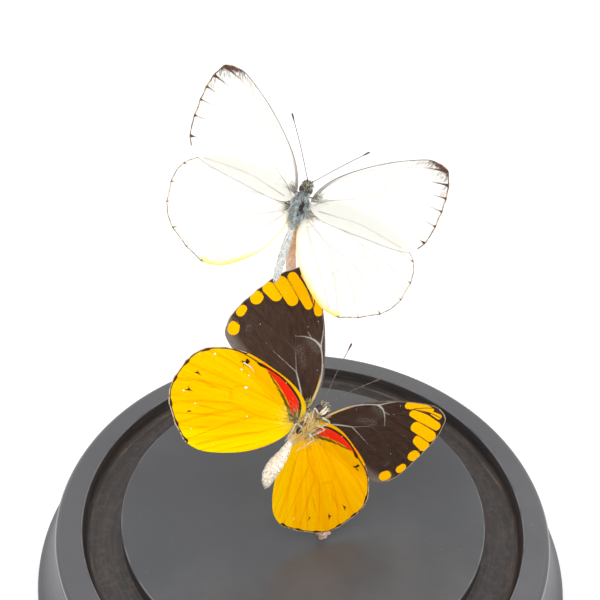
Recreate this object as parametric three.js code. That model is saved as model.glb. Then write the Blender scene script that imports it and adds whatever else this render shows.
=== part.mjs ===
// Two dried butterflies in flying attitude on a leaning twig, over a round turned base grooved for a dome.
// Millimetres, +Z up, origin at the centre of the base's underside. The display's front faces -Y.
import * as THREE from "three";
import { mergeVertices } from "three/addons/utils/BufferGeometryUtils.js";

// ---- Driving dimensions ----------------------------------------------------------------------------------

// Base: one turned piece.
const FOOT_RADIUS = 86; // widest turn of the foot moulding
const BASE_HEIGHT = 26; // underside to rim top
const RIM_OUTER_RADIUS = 77.1;
const GROOVE_OUTER_RADIUS = 70; // the dome's wall stands just inside this
const PLATFORM_RADIUS = 58.2; // raised round platform, level with the rim
const GROOVE_DEPTH = 5.6;
const EDGE_BREAK = 0.4; // the turner's small chamfer on sharp edges
const FOOT_CHAMFER = 1;
const COVE = [
  // control points [radius, height] of the hollow moulding between the foot and the rim
  [FOOT_RADIUS, 6],
  [82.4, 8],
  [79, 15],
  [78.2, 21.2],
];
const COVE_STEPS = 5;
const RIM_BEAD = [
  // the rim's rounded side
  [78.8, 22],
  [78.3, 24.4],
];
const BASE_SEGMENTS = 72;

// Twig: leans back from its foot on the platform, past the lower butterfly, to under the upper one.
const TWIG_FOOT_RADIUS = 1.7;
const TWIG_TOP_RADIUS = 1.25;
const TWIG_KNUCKLE = 0.18; // swelling at each old leaf scar
const TWIG_KNUCKLES = 6;
const TWIG_STEPS = 24;
const TWIG_SIDES = 10;
const TWIG_PATH = [
  [6.3, -11.8, BASE_HEIGHT + 0.5],
  [6.2, -11.5, 30],
  [4.4, -8.2, 43],
  [-0.6, -4.1, 67.9],
  [-3.8, 3.6, 86],
  [-6.3, 11.8, 101],
  [-6.9, 17.8, 110.8],
  [-5.5, 26.0, 121.6],
];
const GLUE_WIDTH = 1.5; // bead of glue round the twig's foot
const GLUE_HEIGHT = 1.1;
const GLUE_CLEARANCE = 0.5; // between the bead and the twig
const GLUE_SIDES = 16;
const PIECE_GAP = 0.3; // under a piece that rests on another

// Wings, shared by both butterflies. Outline points run from the hinge along the front edge, round the tip
// and back: x goes out along the wing, y goes towards the tail.
const WING_THICKNESS = 0.3;
const FOREWING_OUTLINE = [
  [0, 0],
  [8.4, -4.4],
  [22.3, -5.2],
  [35.5, -3.6],
  [41.7, 1.6],
  [39.2, 9.5],
  [31.3, 19.0],
  [23.3, 23.2],
  [20.7, 21.5],
  [12.9, 17.0],
  [0.5, 6.5],
];
const HINDWING_OUTLINE = [
  [0, 0],
  [7.0, -4.7],
  [15.7, -4.7],
  [25.1, -3.0],
  [33.1, 2.5],
  [35.6, 9.4],
  [32.4, 20.3],
  [22.0, 26.6],
  [14.0, 26.6],
  [4.8, 18.5],
  [-0.3, 8.6],
];
const WING_RIM_POINTS = 44;
const WING_RINGS = [0.4, 0.75, 1];
const HINGE_OUT = 2.6; // from the body's middle line
const FOREWING_HINGE = { ahead: 2.6, lift: 0.5 };
const HINDWING_HINGE = { ahead: -1.4, lift: -0.3 };
const WING_ARCH = 1.0; // height of the arch across the span
const WING_SPAN = 38;
const WING_DROOP = 0.7; // how far an edge a wing's depth away from the hinge line sinks
const WING_DEPTH = 28;

// Body: head, thorax and abdomen in one, as [distance behind the head's front, radius]. The head and thorax
// are alike, and each butterfly has an abdomen of its own.
const HEAD_AND_THORAX = [
  [0, 0],
  [0.4, 0.9],
  [1.5, 1.35],
  [2.7, 1.15],
  [3.3, 0.95],
  [4.4, 1.7],
  [6.6, 2.1],
  [9.4, 2.05],
  [11.6, 1.35],
];
const BODY_SIDES = 14;
const THORAX_DEPTH = 1.1; // the body is this much deeper than it is wide
const ANTENNA_ROOT = [0.6, 7.4, 1.3];
const ANTENNA_BOW = 0.8; // how far its middle stands above the straight line
const ANTENNA = [
  // [fraction of the length, radius], with the club at the far end
  [0, 0],
  [0, 0.2],
  [0.3, 0.2],
  [0.6, 0.2],
  [0.86, 0.22],
  [0.94, 0.42],
  [0.985, 0.38],
  [1, 0],
];
const LEG = [
  [0, 0],
  [0, 0.26],
  [0.2, 0.29],
  [0.35, 0.22],
  [0.7, 0.18],
  [1, 0.13],
  [1, 0],
];
const SLENDER_SIDES = 6;

// One entry a butterfly. Angles are in degrees: heading turns it about +Z from facing +Y, pitch lifts its
// head, roll tips it to its right. Body and antenna points are [right, ahead, up] from mid thorax.
const BUTTERFLIES = [
  {
    name: "upper",
    size: 0.96,
    place: [-5.0, 22.2, 123.4],
    turn: { heading: -22.2, pitch: 37.2, roll: 28.3 },
    wingsRaised: 14.3,
    foreSweep: { left: 36.9, right: 35.9 },
    hindSweep: { left: -0.3, right: 1.3 },
    bodyLine: [
      [0, 7.6, 0],
      [0, 1, 0],
      [0.2, -7, 0.2],
      [0.6, -15, 0.3],
      [1.5, -24.8, -0.3],
    ],
    abdomen: [
      [14.6, 0.75],
      [17.5, 1.0],
      [22.0, 1.1],
      [28.0, 1.05],
      [31.4, 0.7],
      [32.6, 0],
    ],
    antennaTips: { left: [-12.7, 24.0, 3.6], right: [13.3, 23.1, 3.6] },
    feetSpread: 1.6,
  },
  {
    name: "lower",
    size: 1,
    place: [0.1, -8.2, 68.9],
    turn: { heading: -60.3, pitch: 37.3, roll: -112.6 },
    wingsRaised: 8.7,
    foreSweep: { left: 42.0, right: 42.6 },
    hindSweep: { left: 0.4, right: 0.2 },
    bodyLine: [
      [0, 7.6, 0],
      [0, 1, 0],
      [-0.2, -6, -0.6],
      [-0.6, -12, -3.2],
      [-1.2, -17.5, -4.6],
      [-3.4, -21.4, -4.9],
    ],
    abdomen: [
      [14.0, 0.95],
      [15.5, 0.85],
      [18.0, 1.25],
      [21.0, 1.75],
      [24.0, 2.1],
      [27.0, 1.95],
      [29.6, 1.2],
      [31.4, 0],
    ],
    antennaTips: { left: [-9.1, 23.5, 6.0], right: [5.8, 25.0, 6.0] },
    feetSpread: 0,
  },
];

// Legs, folded back under the thorax: [right, ahead, up] for the right side, mirrored for the left. The upper
// butterfly's knees and feet are spread further, one row on each side of the twig.
const LEGS = {
  foreleg: [
    [0.8, 4.2, -2.45],
    [3.4, 4.8, -3.0],
    [1.6, 1.6, -3.9],
    [0.9, -1.0, -4.0],
  ],
  midleg: [
    [1.5, 1.6, -2.6],
    [3.9, 2.4, -3.0],
    [2.3, -0.8, -3.9],
    [1.7, -3.4, -3.9],
  ],
  hindleg: [
    [1.5, -1.8, -2.4],
    [3.8, -2.0, -3.0],
    [3.0, -5.0, -3.4],
    [2.4, -8.0, -3.3],
  ],
};

// ---- Materials -------------------------------------------------------------------------------------------

const finish = (color, roughness) =>
  new THREE.MeshStandardMaterial({ color, roughness, metalness: 0 });
const blackLacquer = () => finish(0x5e5f62, 0.5);
const bark = () => finish(0x8a6a50, 0.85);
const driedGlue = () => finish(0xd9c3a4, 0.4);
const chitin = () => finish(0x2b2523, 0.5);
const SCALES = {
  upper: { body: 0x96a5aa, forewing: 0xfafaf6, hindwing: 0xfbf8ea },
  lower: { body: 0xe8dcae, forewing: 0x3c2d28, hindwing: 0xffb200 },
};

// ---- Shapes ----------------------------------------------------------------------------------------------

const rad = THREE.MathUtils.degToRad;
const vectors = (points) => points.map((p) => new THREE.Vector3(...p));
const mirrored = ([x, y, z], side) => [side * x, y, z];

function closed(geometry) {
  geometry.deleteAttribute("normal");
  geometry.deleteAttribute("uv");
  const merged = mergeVertices(geometry, 1e-4);
  merged.computeVertexNormals();
  return merged;
}

// A lathe turned about the line x = 0, z = 0 and then carried along a curve: the profile's height is the
// fraction of the curve's length, and its radius is measured across the curve. up stops the section rolling.
function carriedAlong(path, profile, sides, up, depth = 1) {
  const curve = new THREE.CatmullRomCurve3(vectors(path));
  const lathe = new THREE.LatheGeometry(
    profile.map(([along, radius]) => new THREE.Vector2(radius, along)),
    sides,
  );
  const position = lathe.attributes.position;
  const spot = new THREE.Vector3();
  for (let i = 0; i < position.count; i++) {
    spot.fromBufferAttribute(position, i);
    const ahead = curve.getTangentAt(spot.y);
    const side = new THREE.Vector3().crossVectors(ahead, up).normalize();
    const top = new THREE.Vector3().crossVectors(side, ahead);
    const centre = curve.getPointAt(spot.y);
    centre.addScaledVector(side, spot.x);
    centre.addScaledVector(top, spot.z * depth);
    position.setXYZ(i, centre.x, centre.y, centre.z);
  }
  return closed(lathe);
}

function baseGeometry() {
  const top = BASE_HEIGHT;
  const floor = BASE_HEIGHT - GROOVE_DEPTH;
  const cove = new THREE.CubicBezierCurve(...COVE.map((p) => new THREE.Vector2(...p)));
  const profile = [
    [0, 0],
    [FOOT_RADIUS - FOOT_CHAMFER, 0],
    [FOOT_RADIUS, FOOT_CHAMFER],
    ...cove.getPoints(COVE_STEPS).map((p) => [p.x, p.y]),
    ...RIM_BEAD,
    [RIM_OUTER_RADIUS, top],
    [GROOVE_OUTER_RADIUS + EDGE_BREAK, top],
    [GROOVE_OUTER_RADIUS, top - EDGE_BREAK],
    [GROOVE_OUTER_RADIUS, floor],
    [PLATFORM_RADIUS, floor],
    [PLATFORM_RADIUS, top - EDGE_BREAK],
    [PLATFORM_RADIUS - EDGE_BREAK, top],
    [0, top],
  ];
  const turned = new THREE.LatheGeometry(
    profile.map(([radius, height]) => new THREE.Vector2(radius, height)),
    BASE_SEGMENTS,
  );
  return closed(turned.rotateX(Math.PI / 2));
}

// The radius falls evenly from foot to top and swells a little at each knuckle; both ends are cut square.
function twigGeometry() {
  const profile = [[0, 0]];
  for (let i = 0; i <= TWIG_STEPS; i++) {
    const along = i / TWIG_STEPS;
    const taper = THREE.MathUtils.lerp(TWIG_FOOT_RADIUS, TWIG_TOP_RADIUS, along);
    const swelling = TWIG_KNUCKLE * Math.max(0, Math.cos(2 * Math.PI * TWIG_KNUCKLES * along));
    profile.push([along, taper + swelling]);
  }
  profile.push([1, 0]);
  return carriedAlong(TWIG_PATH, profile, TWIG_SIDES, new THREE.Vector3(0, -1, 0));
}

// A low bead with a clear hole for the twig.
function glueGeometry() {
  const hole = TWIG_FOOT_RADIUS + TWIG_KNUCKLE + GLUE_CLEARANCE;
  const profile = [
    [hole, 0],
    [hole + GLUE_WIDTH, 0],
    [hole + 0.7 * GLUE_WIDTH, 0.6 * GLUE_HEIGHT],
    [hole, GLUE_HEIGHT],
    [hole, 0],
  ];
  const bead = new THREE.LatheGeometry(
    profile.map(([radius, height]) => new THREE.Vector2(radius, height)),
    GLUE_SIDES,
  );
  return closed(bead.rotateX(Math.PI / 2));
}

// A disc of rings is spread onto the outline, so that its rim follows the wing's edge, and then both faces
// are arched together. side is 1 for the right wing and -1 for the left, where the two faces of the disc
// change places so that they still point outwards.
function wingGeometry(outline, hinge, sweep, raised, side) {
  const edge = new THREE.CatmullRomCurve3(
    outline.map(([x, y]) => new THREE.Vector3(x, y, 0)),
    true,
    "catmullrom",
    0.5,
  );
  const hub = new THREE.Vector3();
  outline.forEach(([x, y]) => hub.add(new THREE.Vector3(x, y, 0)));
  hub.divideScalar(outline.length);
  const under = WING_RINGS.map((ring) => new THREE.Vector2(ring, -0.5));
  const over = WING_RINGS.map((ring) => new THREE.Vector2(ring, 0.5)).reverse();
  const profile = [new THREE.Vector2(0, -0.5), ...under, ...over, new THREE.Vector2(0, 0.5)];
  const disc = new THREE.LatheGeometry(profile, WING_RIM_POINTS);
  const position = disc.attributes.position;
  for (let i = 0; i < position.count; i++) {
    const turn = Math.floor(i / profile.length);
    const { x: ring, y: face } = profile[i % profile.length];
    const spot = hub.clone().lerp(edge.getPoint((turn % WING_RIM_POINTS) / WING_RIM_POINTS), ring);
    const out = HINGE_OUT + spot.x * Math.cos(sweep) + spot.y * Math.sin(sweep);
    const back = -hinge.ahead - spot.x * Math.sin(sweep) + spot.y * Math.cos(sweep);
    const arch = WING_ARCH * Math.sin((Math.PI * out) / WING_SPAN);
    const droop = WING_DROOP * (back / WING_DEPTH) ** 2;
    const up = hinge.lift + arch - droop - side * face * WING_THICKNESS;
    position.setXYZ(
      i,
      side * (out * Math.cos(raised) - up * Math.sin(raised)),
      -back,
      out * Math.sin(raised) + up * Math.cos(raised),
    );
  }
  return closed(disc);
}

function bodyGeometry(line, abdomen) {
  const length = abdomen.at(-1)[0];
  const profile = [...HEAD_AND_THORAX, ...abdomen].map(([behind, radius]) => [behind / length, radius]);
  return carriedAlong(line, profile, BODY_SIDES, new THREE.Vector3(0, 0, 1), THORAX_DEPTH);
}

// A thin shaft that bows upwards a little and thickens to a club.
function antennaGeometry(root, tip) {
  const [right, ahead, up] = root.map((value, axis) => (value + tip[axis]) / 2);
  const path = [root, [right, ahead, up + ANTENNA_BOW], tip];
  return carriedAlong(path, ANTENNA, SLENDER_SIDES, new THREE.Vector3(0, 0, 1));
}

function legGeometry([hip, ...joints], side, spread) {
  const path = [hip, ...joints.map(([x, y, z]) => [x + spread, y, z])].map((point) => mirrored(point, side));
  return carriedAlong(path, LEG, SLENDER_SIDES, new THREE.Vector3(0.1, 0.2, 1));
}

// ---- The object ------------------------------------------------------------------------------------------

function named(name, geometry, material) {
  const mesh = new THREE.Mesh(geometry, material);
  mesh.name = name;
  return mesh;
}

function butterfly(each) {
  const { name, turn, foreSweep, hindSweep } = each;
  const insect = new THREE.Group();
  insect.position.set(...each.place);
  insect.rotation.set(rad(turn.pitch), rad(turn.roll), rad(turn.heading), "ZXY");
  insect.scale.setScalar(each.size);
  const scales = SCALES[name];
  insect.add(named(`${name}_body`, bodyGeometry(each.bodyLine, each.abdomen), finish(scales.body, 0.8)));
  for (const [hand, side] of [
    ["left", -1],
    ["right", 1],
  ]) {
    const wings = [
      ["forewing", FOREWING_OUTLINE, FOREWING_HINGE, foreSweep[hand], scales.forewing],
      ["hindwing", HINDWING_OUTLINE, HINDWING_HINGE, hindSweep[hand], scales.hindwing],
    ];
    for (const [wing, outline, hinge, sweep, color] of wings) {
      const geometry = wingGeometry(outline, hinge, rad(sweep), rad(each.wingsRaised), side);
      insect.add(named(`${name}_${hand}_${wing}`, geometry, finish(color, 0.75)));
    }
    const antenna = antennaGeometry(mirrored(ANTENNA_ROOT, side), each.antennaTips[hand]);
    insect.add(named(`${name}_${hand}_antenna`, antenna, chitin()));
    for (const [leg, path] of Object.entries(LEGS)) {
      const bent = legGeometry(path, side, each.feetSpread);
      insect.add(named(`${name}_${hand}_${leg}`, bent, chitin()));
    }
  }
  return insect;
}

const mountedButterflies = new THREE.Group();
mountedButterflies.add(named("base", baseGeometry(), blackLacquer()));
mountedButterflies.add(named("twig", twigGeometry(), bark()));
const footGlue = named("foot_glue", glueGeometry(), driedGlue());
footGlue.position.set(TWIG_PATH[0][0], TWIG_PATH[0][1], BASE_HEIGHT + PIECE_GAP);
mountedButterflies.add(footGlue);
BUTTERFLIES.forEach((each) => mountedButterflies.add(butterfly(each)));

export default mountedButterflies;
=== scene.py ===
"""Two dried butterflies in flying attitude on a leaning twig, over a round turned base grooved for a dome."""

import bpy
import numpy as np
from mathutils import Matrix, Vector


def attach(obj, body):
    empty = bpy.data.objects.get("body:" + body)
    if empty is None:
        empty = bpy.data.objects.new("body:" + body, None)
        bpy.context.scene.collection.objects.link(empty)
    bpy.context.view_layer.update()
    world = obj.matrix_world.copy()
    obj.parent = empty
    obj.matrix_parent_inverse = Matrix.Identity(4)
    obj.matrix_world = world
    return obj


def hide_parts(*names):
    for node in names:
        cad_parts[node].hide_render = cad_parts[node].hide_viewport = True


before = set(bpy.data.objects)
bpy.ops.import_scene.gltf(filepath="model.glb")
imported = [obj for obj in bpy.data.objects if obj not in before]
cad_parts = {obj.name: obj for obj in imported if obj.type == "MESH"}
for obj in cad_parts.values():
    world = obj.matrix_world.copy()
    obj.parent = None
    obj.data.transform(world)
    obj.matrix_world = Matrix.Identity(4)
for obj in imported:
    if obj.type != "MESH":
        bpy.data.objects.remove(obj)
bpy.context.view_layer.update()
MM = 0.001

# ---- Base -----------------------------------------------------------------------------------------------
# A disc of wood turned on a lathe, with a hollow moulding at its foot, a rounded rim and a ring groove round
# a raised platform. It is lacquered black, rubbed to a satin finish, and has gathered a little dust.

FOOT_RADIUS = 86.0
BASE_TOP = 26.0
RIM_RADIUS = 77.1
GROOVE_RADIUS = 70.0
PLATFORM_RADIUS = 58.2
GROOVE_DEPTH = 5.6
BASE_SIDES = 288


def display(red, green, blue):
    """A colour given as a screen shows it, 0 to 255, turned into light."""
    shown = np.array([red, green, blue]) / 255
    light = np.where(shown <= 0.04045, shown / 12.92, ((shown + 0.055) / 1.055) ** 2.4)
    return (*light.tolist(), 1.0)


class Socket:
    """One output of a shader node. Arithmetic on it adds Math nodes and gives the result's output."""

    def __init__(self, finish, socket):
        self.finish = finish
        self.socket = socket

    def __add__(self, other):
        return self.finish.math("ADD", self, other)

    def __sub__(self, other):
        return self.finish.math("SUBTRACT", self, other)

    def __rsub__(self, other):
        return self.finish.math("SUBTRACT", other, self)

    def __mul__(self, other):
        return self.finish.math("MULTIPLY", self, other)

    def __truediv__(self, other):
        return self.finish.math("DIVIDE", self, other)

    def __pow__(self, other):
        return self.finish.math("POWER", self, other)

    __radd__ = __add__
    __rmul__ = __mul__


class Finish:
    """A material in the making, with one Principled surface."""

    def __init__(self, name, **even):
        self.material = bpy.data.materials.new(name)
        self.material.use_nodes = True
        self.tree = self.material.node_tree
        self.surface = self.tree.nodes["Principled BSDF"]
        for socket, value in even.items():
            self.surface.inputs[socket.replace("_", " ")].default_value = value

    def node(self, kind, settings=None, inputs=None, output=0):
        """Adds a node: its settings first, then its sockets' values or links."""
        node = self.tree.nodes.new(kind)
        for key, value in (settings or {}).items():
            setattr(node, key, value)
        for key, value in (inputs or {}).items():
            self.feed(node.inputs[key], value)
        return Socket(self, node.outputs[output])

    def feed(self, socket, value):
        if isinstance(value, Socket):
            self.tree.links.new(value.socket, socket)
        else:
            socket.default_value = value

    def math(self, operation, *values):
        return self.node("ShaderNodeMath", {"operation": operation}, dict(enumerate(values)))

    def mix(self, share, low, high):
        """The colour low where share is 0 and high where it is 1."""
        inputs = {0: share, 6: low, 7: high}
        return self.node("ShaderNodeMix", {"data_type": "RGBA"}, inputs, output=2)

    def between(self, value, start, end):
        """A soft step from 0 at start to 1 at end."""
        inputs = {"Value": value, "From Min": start, "From Max": end}
        return self.node("ShaderNodeMapRange", {"interpolation_type": "SMOOTHSTEP"}, inputs)

    def place(self):
        return self.node("ShaderNodeTexCoord", output="Object")

    def own(self, name):
        """A number that each point of the mesh carries."""
        return self.node("ShaderNodeAttribute", {"attribute_name": name}, output="Fac")

    def spread(self, name):
        """A vector that each point of the mesh carries."""
        return self.node("ShaderNodeAttribute", {"attribute_name": name}, output="Vector")

    def stretched(self, vector, factors):
        return self.node("ShaderNodeVectorMath", {"operation": "MULTIPLY"}, {0: vector, 1: factors})

    def noise(self, vector, scale, detail=3.0, roughness=0.5):
        inputs = {"Vector": vector, "Scale": scale, "Detail": detail, "Roughness": roughness}
        return self.node("ShaderNodeTexNoise", {"noise_dimensions": "3D"}, inputs)

    def specks(self, vector, scale, size, share):
        """Small round dots, one in some cells of a random pattern: size in cells, share from 0 to 1."""
        cells = {"Vector": vector, "Scale": scale}
        away = self.node("ShaderNodeTexVoronoi", {}, cells, output="Distance")
        pick = self.node("ShaderNodeTexVoronoi", {}, cells, output="Color")
        pick = self.node("ShaderNodeSeparateColor", {}, {0: pick})
        return self.between(away, size, size * 0.6) * self.math("LESS_THAN", pick, share)

    def done(self, color, roughness, bump=None, depth=0.00002, strength=1.0):
        """Links the colour, the roughness and, if there is one, the height in steps of depth metres."""
        self.feed(self.surface.inputs["Base Color"], color)
        self.feed(self.surface.inputs["Roughness"], roughness)
        if bump is not None:
            inputs = {"Height": bump, "Distance": depth, "Strength": strength}
            self.feed(self.surface.inputs["Normal"], self.node("ShaderNodeBump", {}, inputs))
        return self.material


def rings_mesh(name, rings):
    """Neighbouring rings of points, rings[ring, side] in mm, joined by quads, and each end closed by a fan on
    the mean of its ring. The points of a ring turn leftwards round the way the rings run."""
    count, sides = rings.shape[:2]
    index = np.arange(count * sides).reshape(count, sides)
    beside = np.roll(index, -1, axis=1)
    quads = np.stack([index[:-1], beside[:-1], beside[1:], index[1:]], axis=-1).reshape(-1, 4)
    first = np.stack([beside[0], index[0], np.full(sides, count * sides)], axis=-1)
    last = np.stack([index[-1], beside[-1], np.full(sides, count * sides + 1)], axis=-1)
    ends = np.stack([rings[0].mean(axis=0), rings[-1].mean(axis=0)])
    points = np.concatenate([rings.reshape(-1, 3), ends])
    mesh = bpy.data.meshes.new(name)
    mesh.from_pydata(points * MM, [], quads.tolist() + first.tolist() + last.tolist(), shade_flat=False)
    return mesh


def fitted(name, mesh, material, slot, *nodes):
    """Puts a piece in place of the named solids."""
    mesh.materials.append(material)
    piece = bpy.data.objects.new(name, mesh)
    bpy.context.scene.collection.objects.link(piece)
    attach(piece, "root")
    if nodes:
        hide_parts(*nodes)
    return piece


def carried(mesh, name, values):
    """Gives each point of the mesh a number, or a vector if values has three columns."""
    kind, key = ("FLOAT", "value") if values.ndim == 1 else ("FLOAT_VECTOR", "vector")
    mesh.attributes.new(name, kind, "POINT").data.foreach_set(key, values.astype(np.float32).ravel())


def rounded(corners, reach, steps=6):
    """A line through corners, each replaced by a parabola that starts and ends reach away from it."""
    corners = np.array(corners, float)
    before, here, after = corners[:-2], corners[1:-1], corners[2:]
    into, out = before - here, after - here
    into_length = np.linalg.norm(into, axis=1)
    out_length = np.linalg.norm(out, axis=1)
    cut = np.minimum(reach, 0.45 * np.minimum(into_length, out_length))
    start = here + into * (cut / into_length)[:, None]
    end = here + out * (cut / out_length)[:, None]
    t = np.linspace(0, 1, steps)[:, None, None]
    curve = start * (1 - t) ** 2 + here * 2 * t * (1 - t) + end * t**2
    return np.concatenate([corners[:1], curve.transpose(1, 0, 2).reshape(-1, 2), corners[-1:]])


def base_profile():
    """Radius and height from the middle of the underside, round the moulding, rim, groove and platform, to
    the middle of the top. The moulding's hollow is a cubic Bezier curve."""
    t = np.linspace(0, 1, 28)[:, None]
    a, b, c, d = np.array([[FOOT_RADIUS, 6.0], [82.4, 8.0], [79.0, 15.0], [78.2, 21.2]])
    hollow = a * (1 - t) ** 3 + 3 * b * t * (1 - t) ** 2 + 3 * c * t**2 * (1 - t) + d * t**3
    floor = BASE_TOP - GROOVE_DEPTH
    foot = rounded([[0.4, 0], [FOOT_RADIUS, 0], [FOOT_RADIUS, 6.0], [FOOT_RADIUS - 1.6, 6.9]], 0.8)[:-1]
    rim = [[78.2, 21.2], [78.85, 22.0], [78.85, 23.6], [77.9, 25.3], [RIM_RADIUS - 0.4, BASE_TOP],
           [GROOVE_RADIUS, BASE_TOP], [GROOVE_RADIUS, floor + 2.6], [GROOVE_RADIUS - 0.7, floor + 0.9],
           [GROOVE_RADIUS - 2.4, floor], [PLATFORM_RADIUS, floor],
           [PLATFORM_RADIUS, BASE_TOP], [PLATFORM_RADIUS - 6, BASE_TOP]]
    plateau = [[r, BASE_TOP] for r in (45, 36, 27, 18, 9, 0.4)]
    return np.concatenate([foot, hollow[2:-1], rounded(rim, 0.55)[:-1], rim[-1:], plateau])


def turned(profile, sides):
    """The profile's radius and height turned about the middle line."""
    turn = np.linspace(0, 2 * np.pi, sides, endpoint=False)
    radius, height = profile.T
    across = radius[:, None, None] * np.stack([np.cos(turn), np.sin(turn)], axis=-1)
    return np.concatenate([across, np.broadcast_to(height[:, None, None], (*across.shape[:2], 1))], axis=-1)


def satin_black_lacquer():
    finish = Finish("satin_black_lacquer", Specular_IOR_Level=0.5)
    place = finish.place()
    x, y, z = (finish.node("ShaderNodeSeparateXYZ", {}, {0: place}, output=axis) for axis in range(3))
    radius = finish.math("SQRT", x * x + y * y) / MM
    height = z / MM
    inside = finish.between(radius, PLATFORM_RADIUS - 0.3, PLATFORM_RADIUS + 0.1)
    in_groove = inside * finish.between(radius, GROOVE_RADIUS + 0.2, GROOVE_RADIUS - 0.2)
    in_groove = in_groove * finish.between(height, BASE_TOP - 0.2, BASE_TOP - 0.9)
    floor_height = BASE_TOP - GROOVE_DEPTH
    on_wall = in_groove * finish.between(height, floor_height + 0.3, floor_height + 0.7)
    clouds = finish.noise(place, 30, 4)
    turn = finish.math("ARCTAN2", y, x)
    arcs = finish.node("ShaderNodeCombineXYZ", {}, {0: turn * 2.2, 1: radius * 0.5, 2: height * 0.4})
    stain = finish.noise(arcs, 2.2, 5, 0.65)
    fleck = finish.noise(place, 420, 3, 0.7)
    black = finish.mix(clouds, display(70, 71, 74), display(80, 81, 84))
    on_rim = finish.between(radius, 70.3, 70.8)
    black = finish.mix(on_rim * 0.85, black, display(90, 90, 94))
    # Painted shade: everything on the outside of the base below the rim's top is darkened, for sides that
    # face away from the light above.
    side = finish.between(height, 25.9, 25.2) * finish.between(radius, 75, 76.5)
    black = finish.mix(side * 0.5, black, display(52, 53, 56))
    brown = finish.mix(finish.between(stain, 0.4, 0.62), display(52, 50, 50), display(72, 60, 55))
    brown = finish.mix(finish.between(fleck, 0.45, 0.7) * 0.4, brown, display(96, 86, 80))
    color = finish.mix(in_groove * 0.9, black, brown)
    # Painted shade: the groove's walls are darker than its floor. The brown of the bare wood there is real.
    shaded_wall = finish.mix(finish.between(stain, 0.45, 0.65), display(30, 24, 23), display(66, 46, 34))
    color = finish.mix(on_wall * 0.85, color, shaded_wall)
    # Painted highlight: a lighter brown band round the rounded foot of the groove's outer wall, broken up by
    # the stain noise.
    streak = finish.between(finish.math("ABSOLUTE", radius - 68.2), 0.9, 0.1) * in_groove
    color = finish.mix(streak * finish.between(stain, 0.5, 0.68) * 0.7, color, display(124, 98, 76))
    level = finish.between(height, 25.7, 26.0)
    dust = finish.specks(place, 330, 0.07, 0.08) + finish.specks(place, 700, 0.12, 0.05) * 0.6
    color = finish.mix(dust * level * 0.6, color, display(176, 174, 170))
    # Painted highlights: two light lines round the bead on the rim's outer side.
    painted_highlights = finish.between(finish.math("ABSOLUTE", height - 22.0), 0.4, 0.1)
    painted_highlights = painted_highlights + finish.between(finish.math("ABSOLUTE", height - 24.6), 0.5, 0.1)
    painted_highlights = painted_highlights * finish.between(radius, 78.0, 78.3) * finish.between(radius, 80.5, 79.5)
    color = finish.mix(painted_highlights * 0.5, color, display(172, 172, 178))
    film = finish.between(finish.noise(place, 14, 6, 0.65), 0.4, 0.75) * 0.12
    color = finish.mix(film * level, color, display(150, 148, 144))
    rubbed = finish.between(finish.math("ABSOLUTE", radius - PLATFORM_RADIUS + 0.15), 0.45, 0.1)
    rubbed = rubbed + finish.between(finish.math("ABSOLUTE", radius - GROOVE_RADIUS - 0.15), 0.45, 0.1)
    rubbed = rubbed * level * finish.between(finish.noise(place, 120, 3), 0.3, 0.6)
    color = finish.mix(rubbed * 0.45, color, display(150, 148, 146))
    rings = finish.node("ShaderNodeCombineXYZ", {}, {0: radius * 0.9, 1: height * 0.9, 2: 0.0})
    lathe_marks = finish.noise(rings, 1.6, 2)
    orange_peel = finish.noise(place, 700, 2)
    rough = 0.29 + clouds * 0.1 + dust * 0.3 + in_groove * 0.2 + film * 0.8
    return finish.done(color, rough, lathe_marks * 0.6 + orange_peel * 0.4 + dust, depth=0.000012)


base_mesh = rings_mesh("base", turned(base_profile(), BASE_SIDES))
fitted("turned_base", base_mesh, satin_black_lacquer(), "lacquered_wood", "base")

# ---- Twig -----------------------------------------------------------------------------------------------
# A thin dry twig with its bark on, leaning back from its foot, that carries both butterflies. Old leaf scars
# make low knuckles along it.

TWIG_PATH = [[6.3, -11.8, 26.1], [6.2, -11.5, 30], [4.4, -8.2, 43], [-0.6, -4.1, 67.9], [-3.8, 3.6, 86],
             [-6.3, 11.8, 101], [-6.9, 17.8, 110.8], [-5.5, 26.0, 121.6]]
TWIG_FOOT, TWIG_TOP = 1.7, 1.25
KNUCKLE, KNUCKLES = 0.18, 6


def smooth_path(points, count):
    """Centripetal Catmull-Rom curve through the points: a cubic between neighbours whose slopes weigh the gap
    by the root of its length. The count points given back are spaced evenly along it."""
    points = np.array(points, float)
    ends = 2 * points[[0, -1]] - points[[1, -2]]
    knots = np.concatenate([ends[:1], points, ends[1:]])
    gap = np.linalg.norm(np.diff(knots, axis=0), axis=1)[:, None] ** 0.5
    step = np.diff(knots, axis=0) / gap
    slope = step[:-1] - (knots[2:] - knots[:-2]) / (gap[:-1] + gap[1:]) + step[1:]
    t = np.linspace(0, len(points) - 1, 60 * (len(points) - 1) + 1)
    i = np.minimum(t.astype(int), len(points) - 2)
    t = (t - i)[:, None]
    curve = (2 * t**3 - 3 * t**2 + 1) * points[i] + (t**3 - 2 * t**2 + t) * gap[1:-1][i] * slope[i]
    curve += (3 * t**2 - 2 * t**3) * points[i + 1] + (t**3 - t**2) * gap[1:-1][i] * slope[i + 1]
    run = np.concatenate([[0], np.cumsum(np.linalg.norm(np.diff(curve, axis=0), axis=1))])
    even = np.linspace(0, run[-1], count)
    return np.stack([np.interp(even, run, column) for column in curve.T], axis=-1)


def rod(path, radius, up, depth=1.0):
    """Rings round a path. radius[ring, side] is measured across the path, and up is the direction that the
    top of each ring leans towards; depth stretches the rings that way."""
    ahead = np.gradient(path, axis=0)
    ahead /= np.linalg.norm(ahead, axis=1, keepdims=True)
    side = np.cross(ahead, up)
    side /= np.linalg.norm(side, axis=1, keepdims=True)
    top = np.cross(side, ahead)
    turn = np.linspace(0, 2 * np.pi, radius.shape[1], endpoint=False)
    across = np.cos(turn)[None, :, None] * side[:, None] - depth * np.sin(turn)[None, :, None] * top[:, None]
    return path[:, None] + radius[..., None] * across


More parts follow.
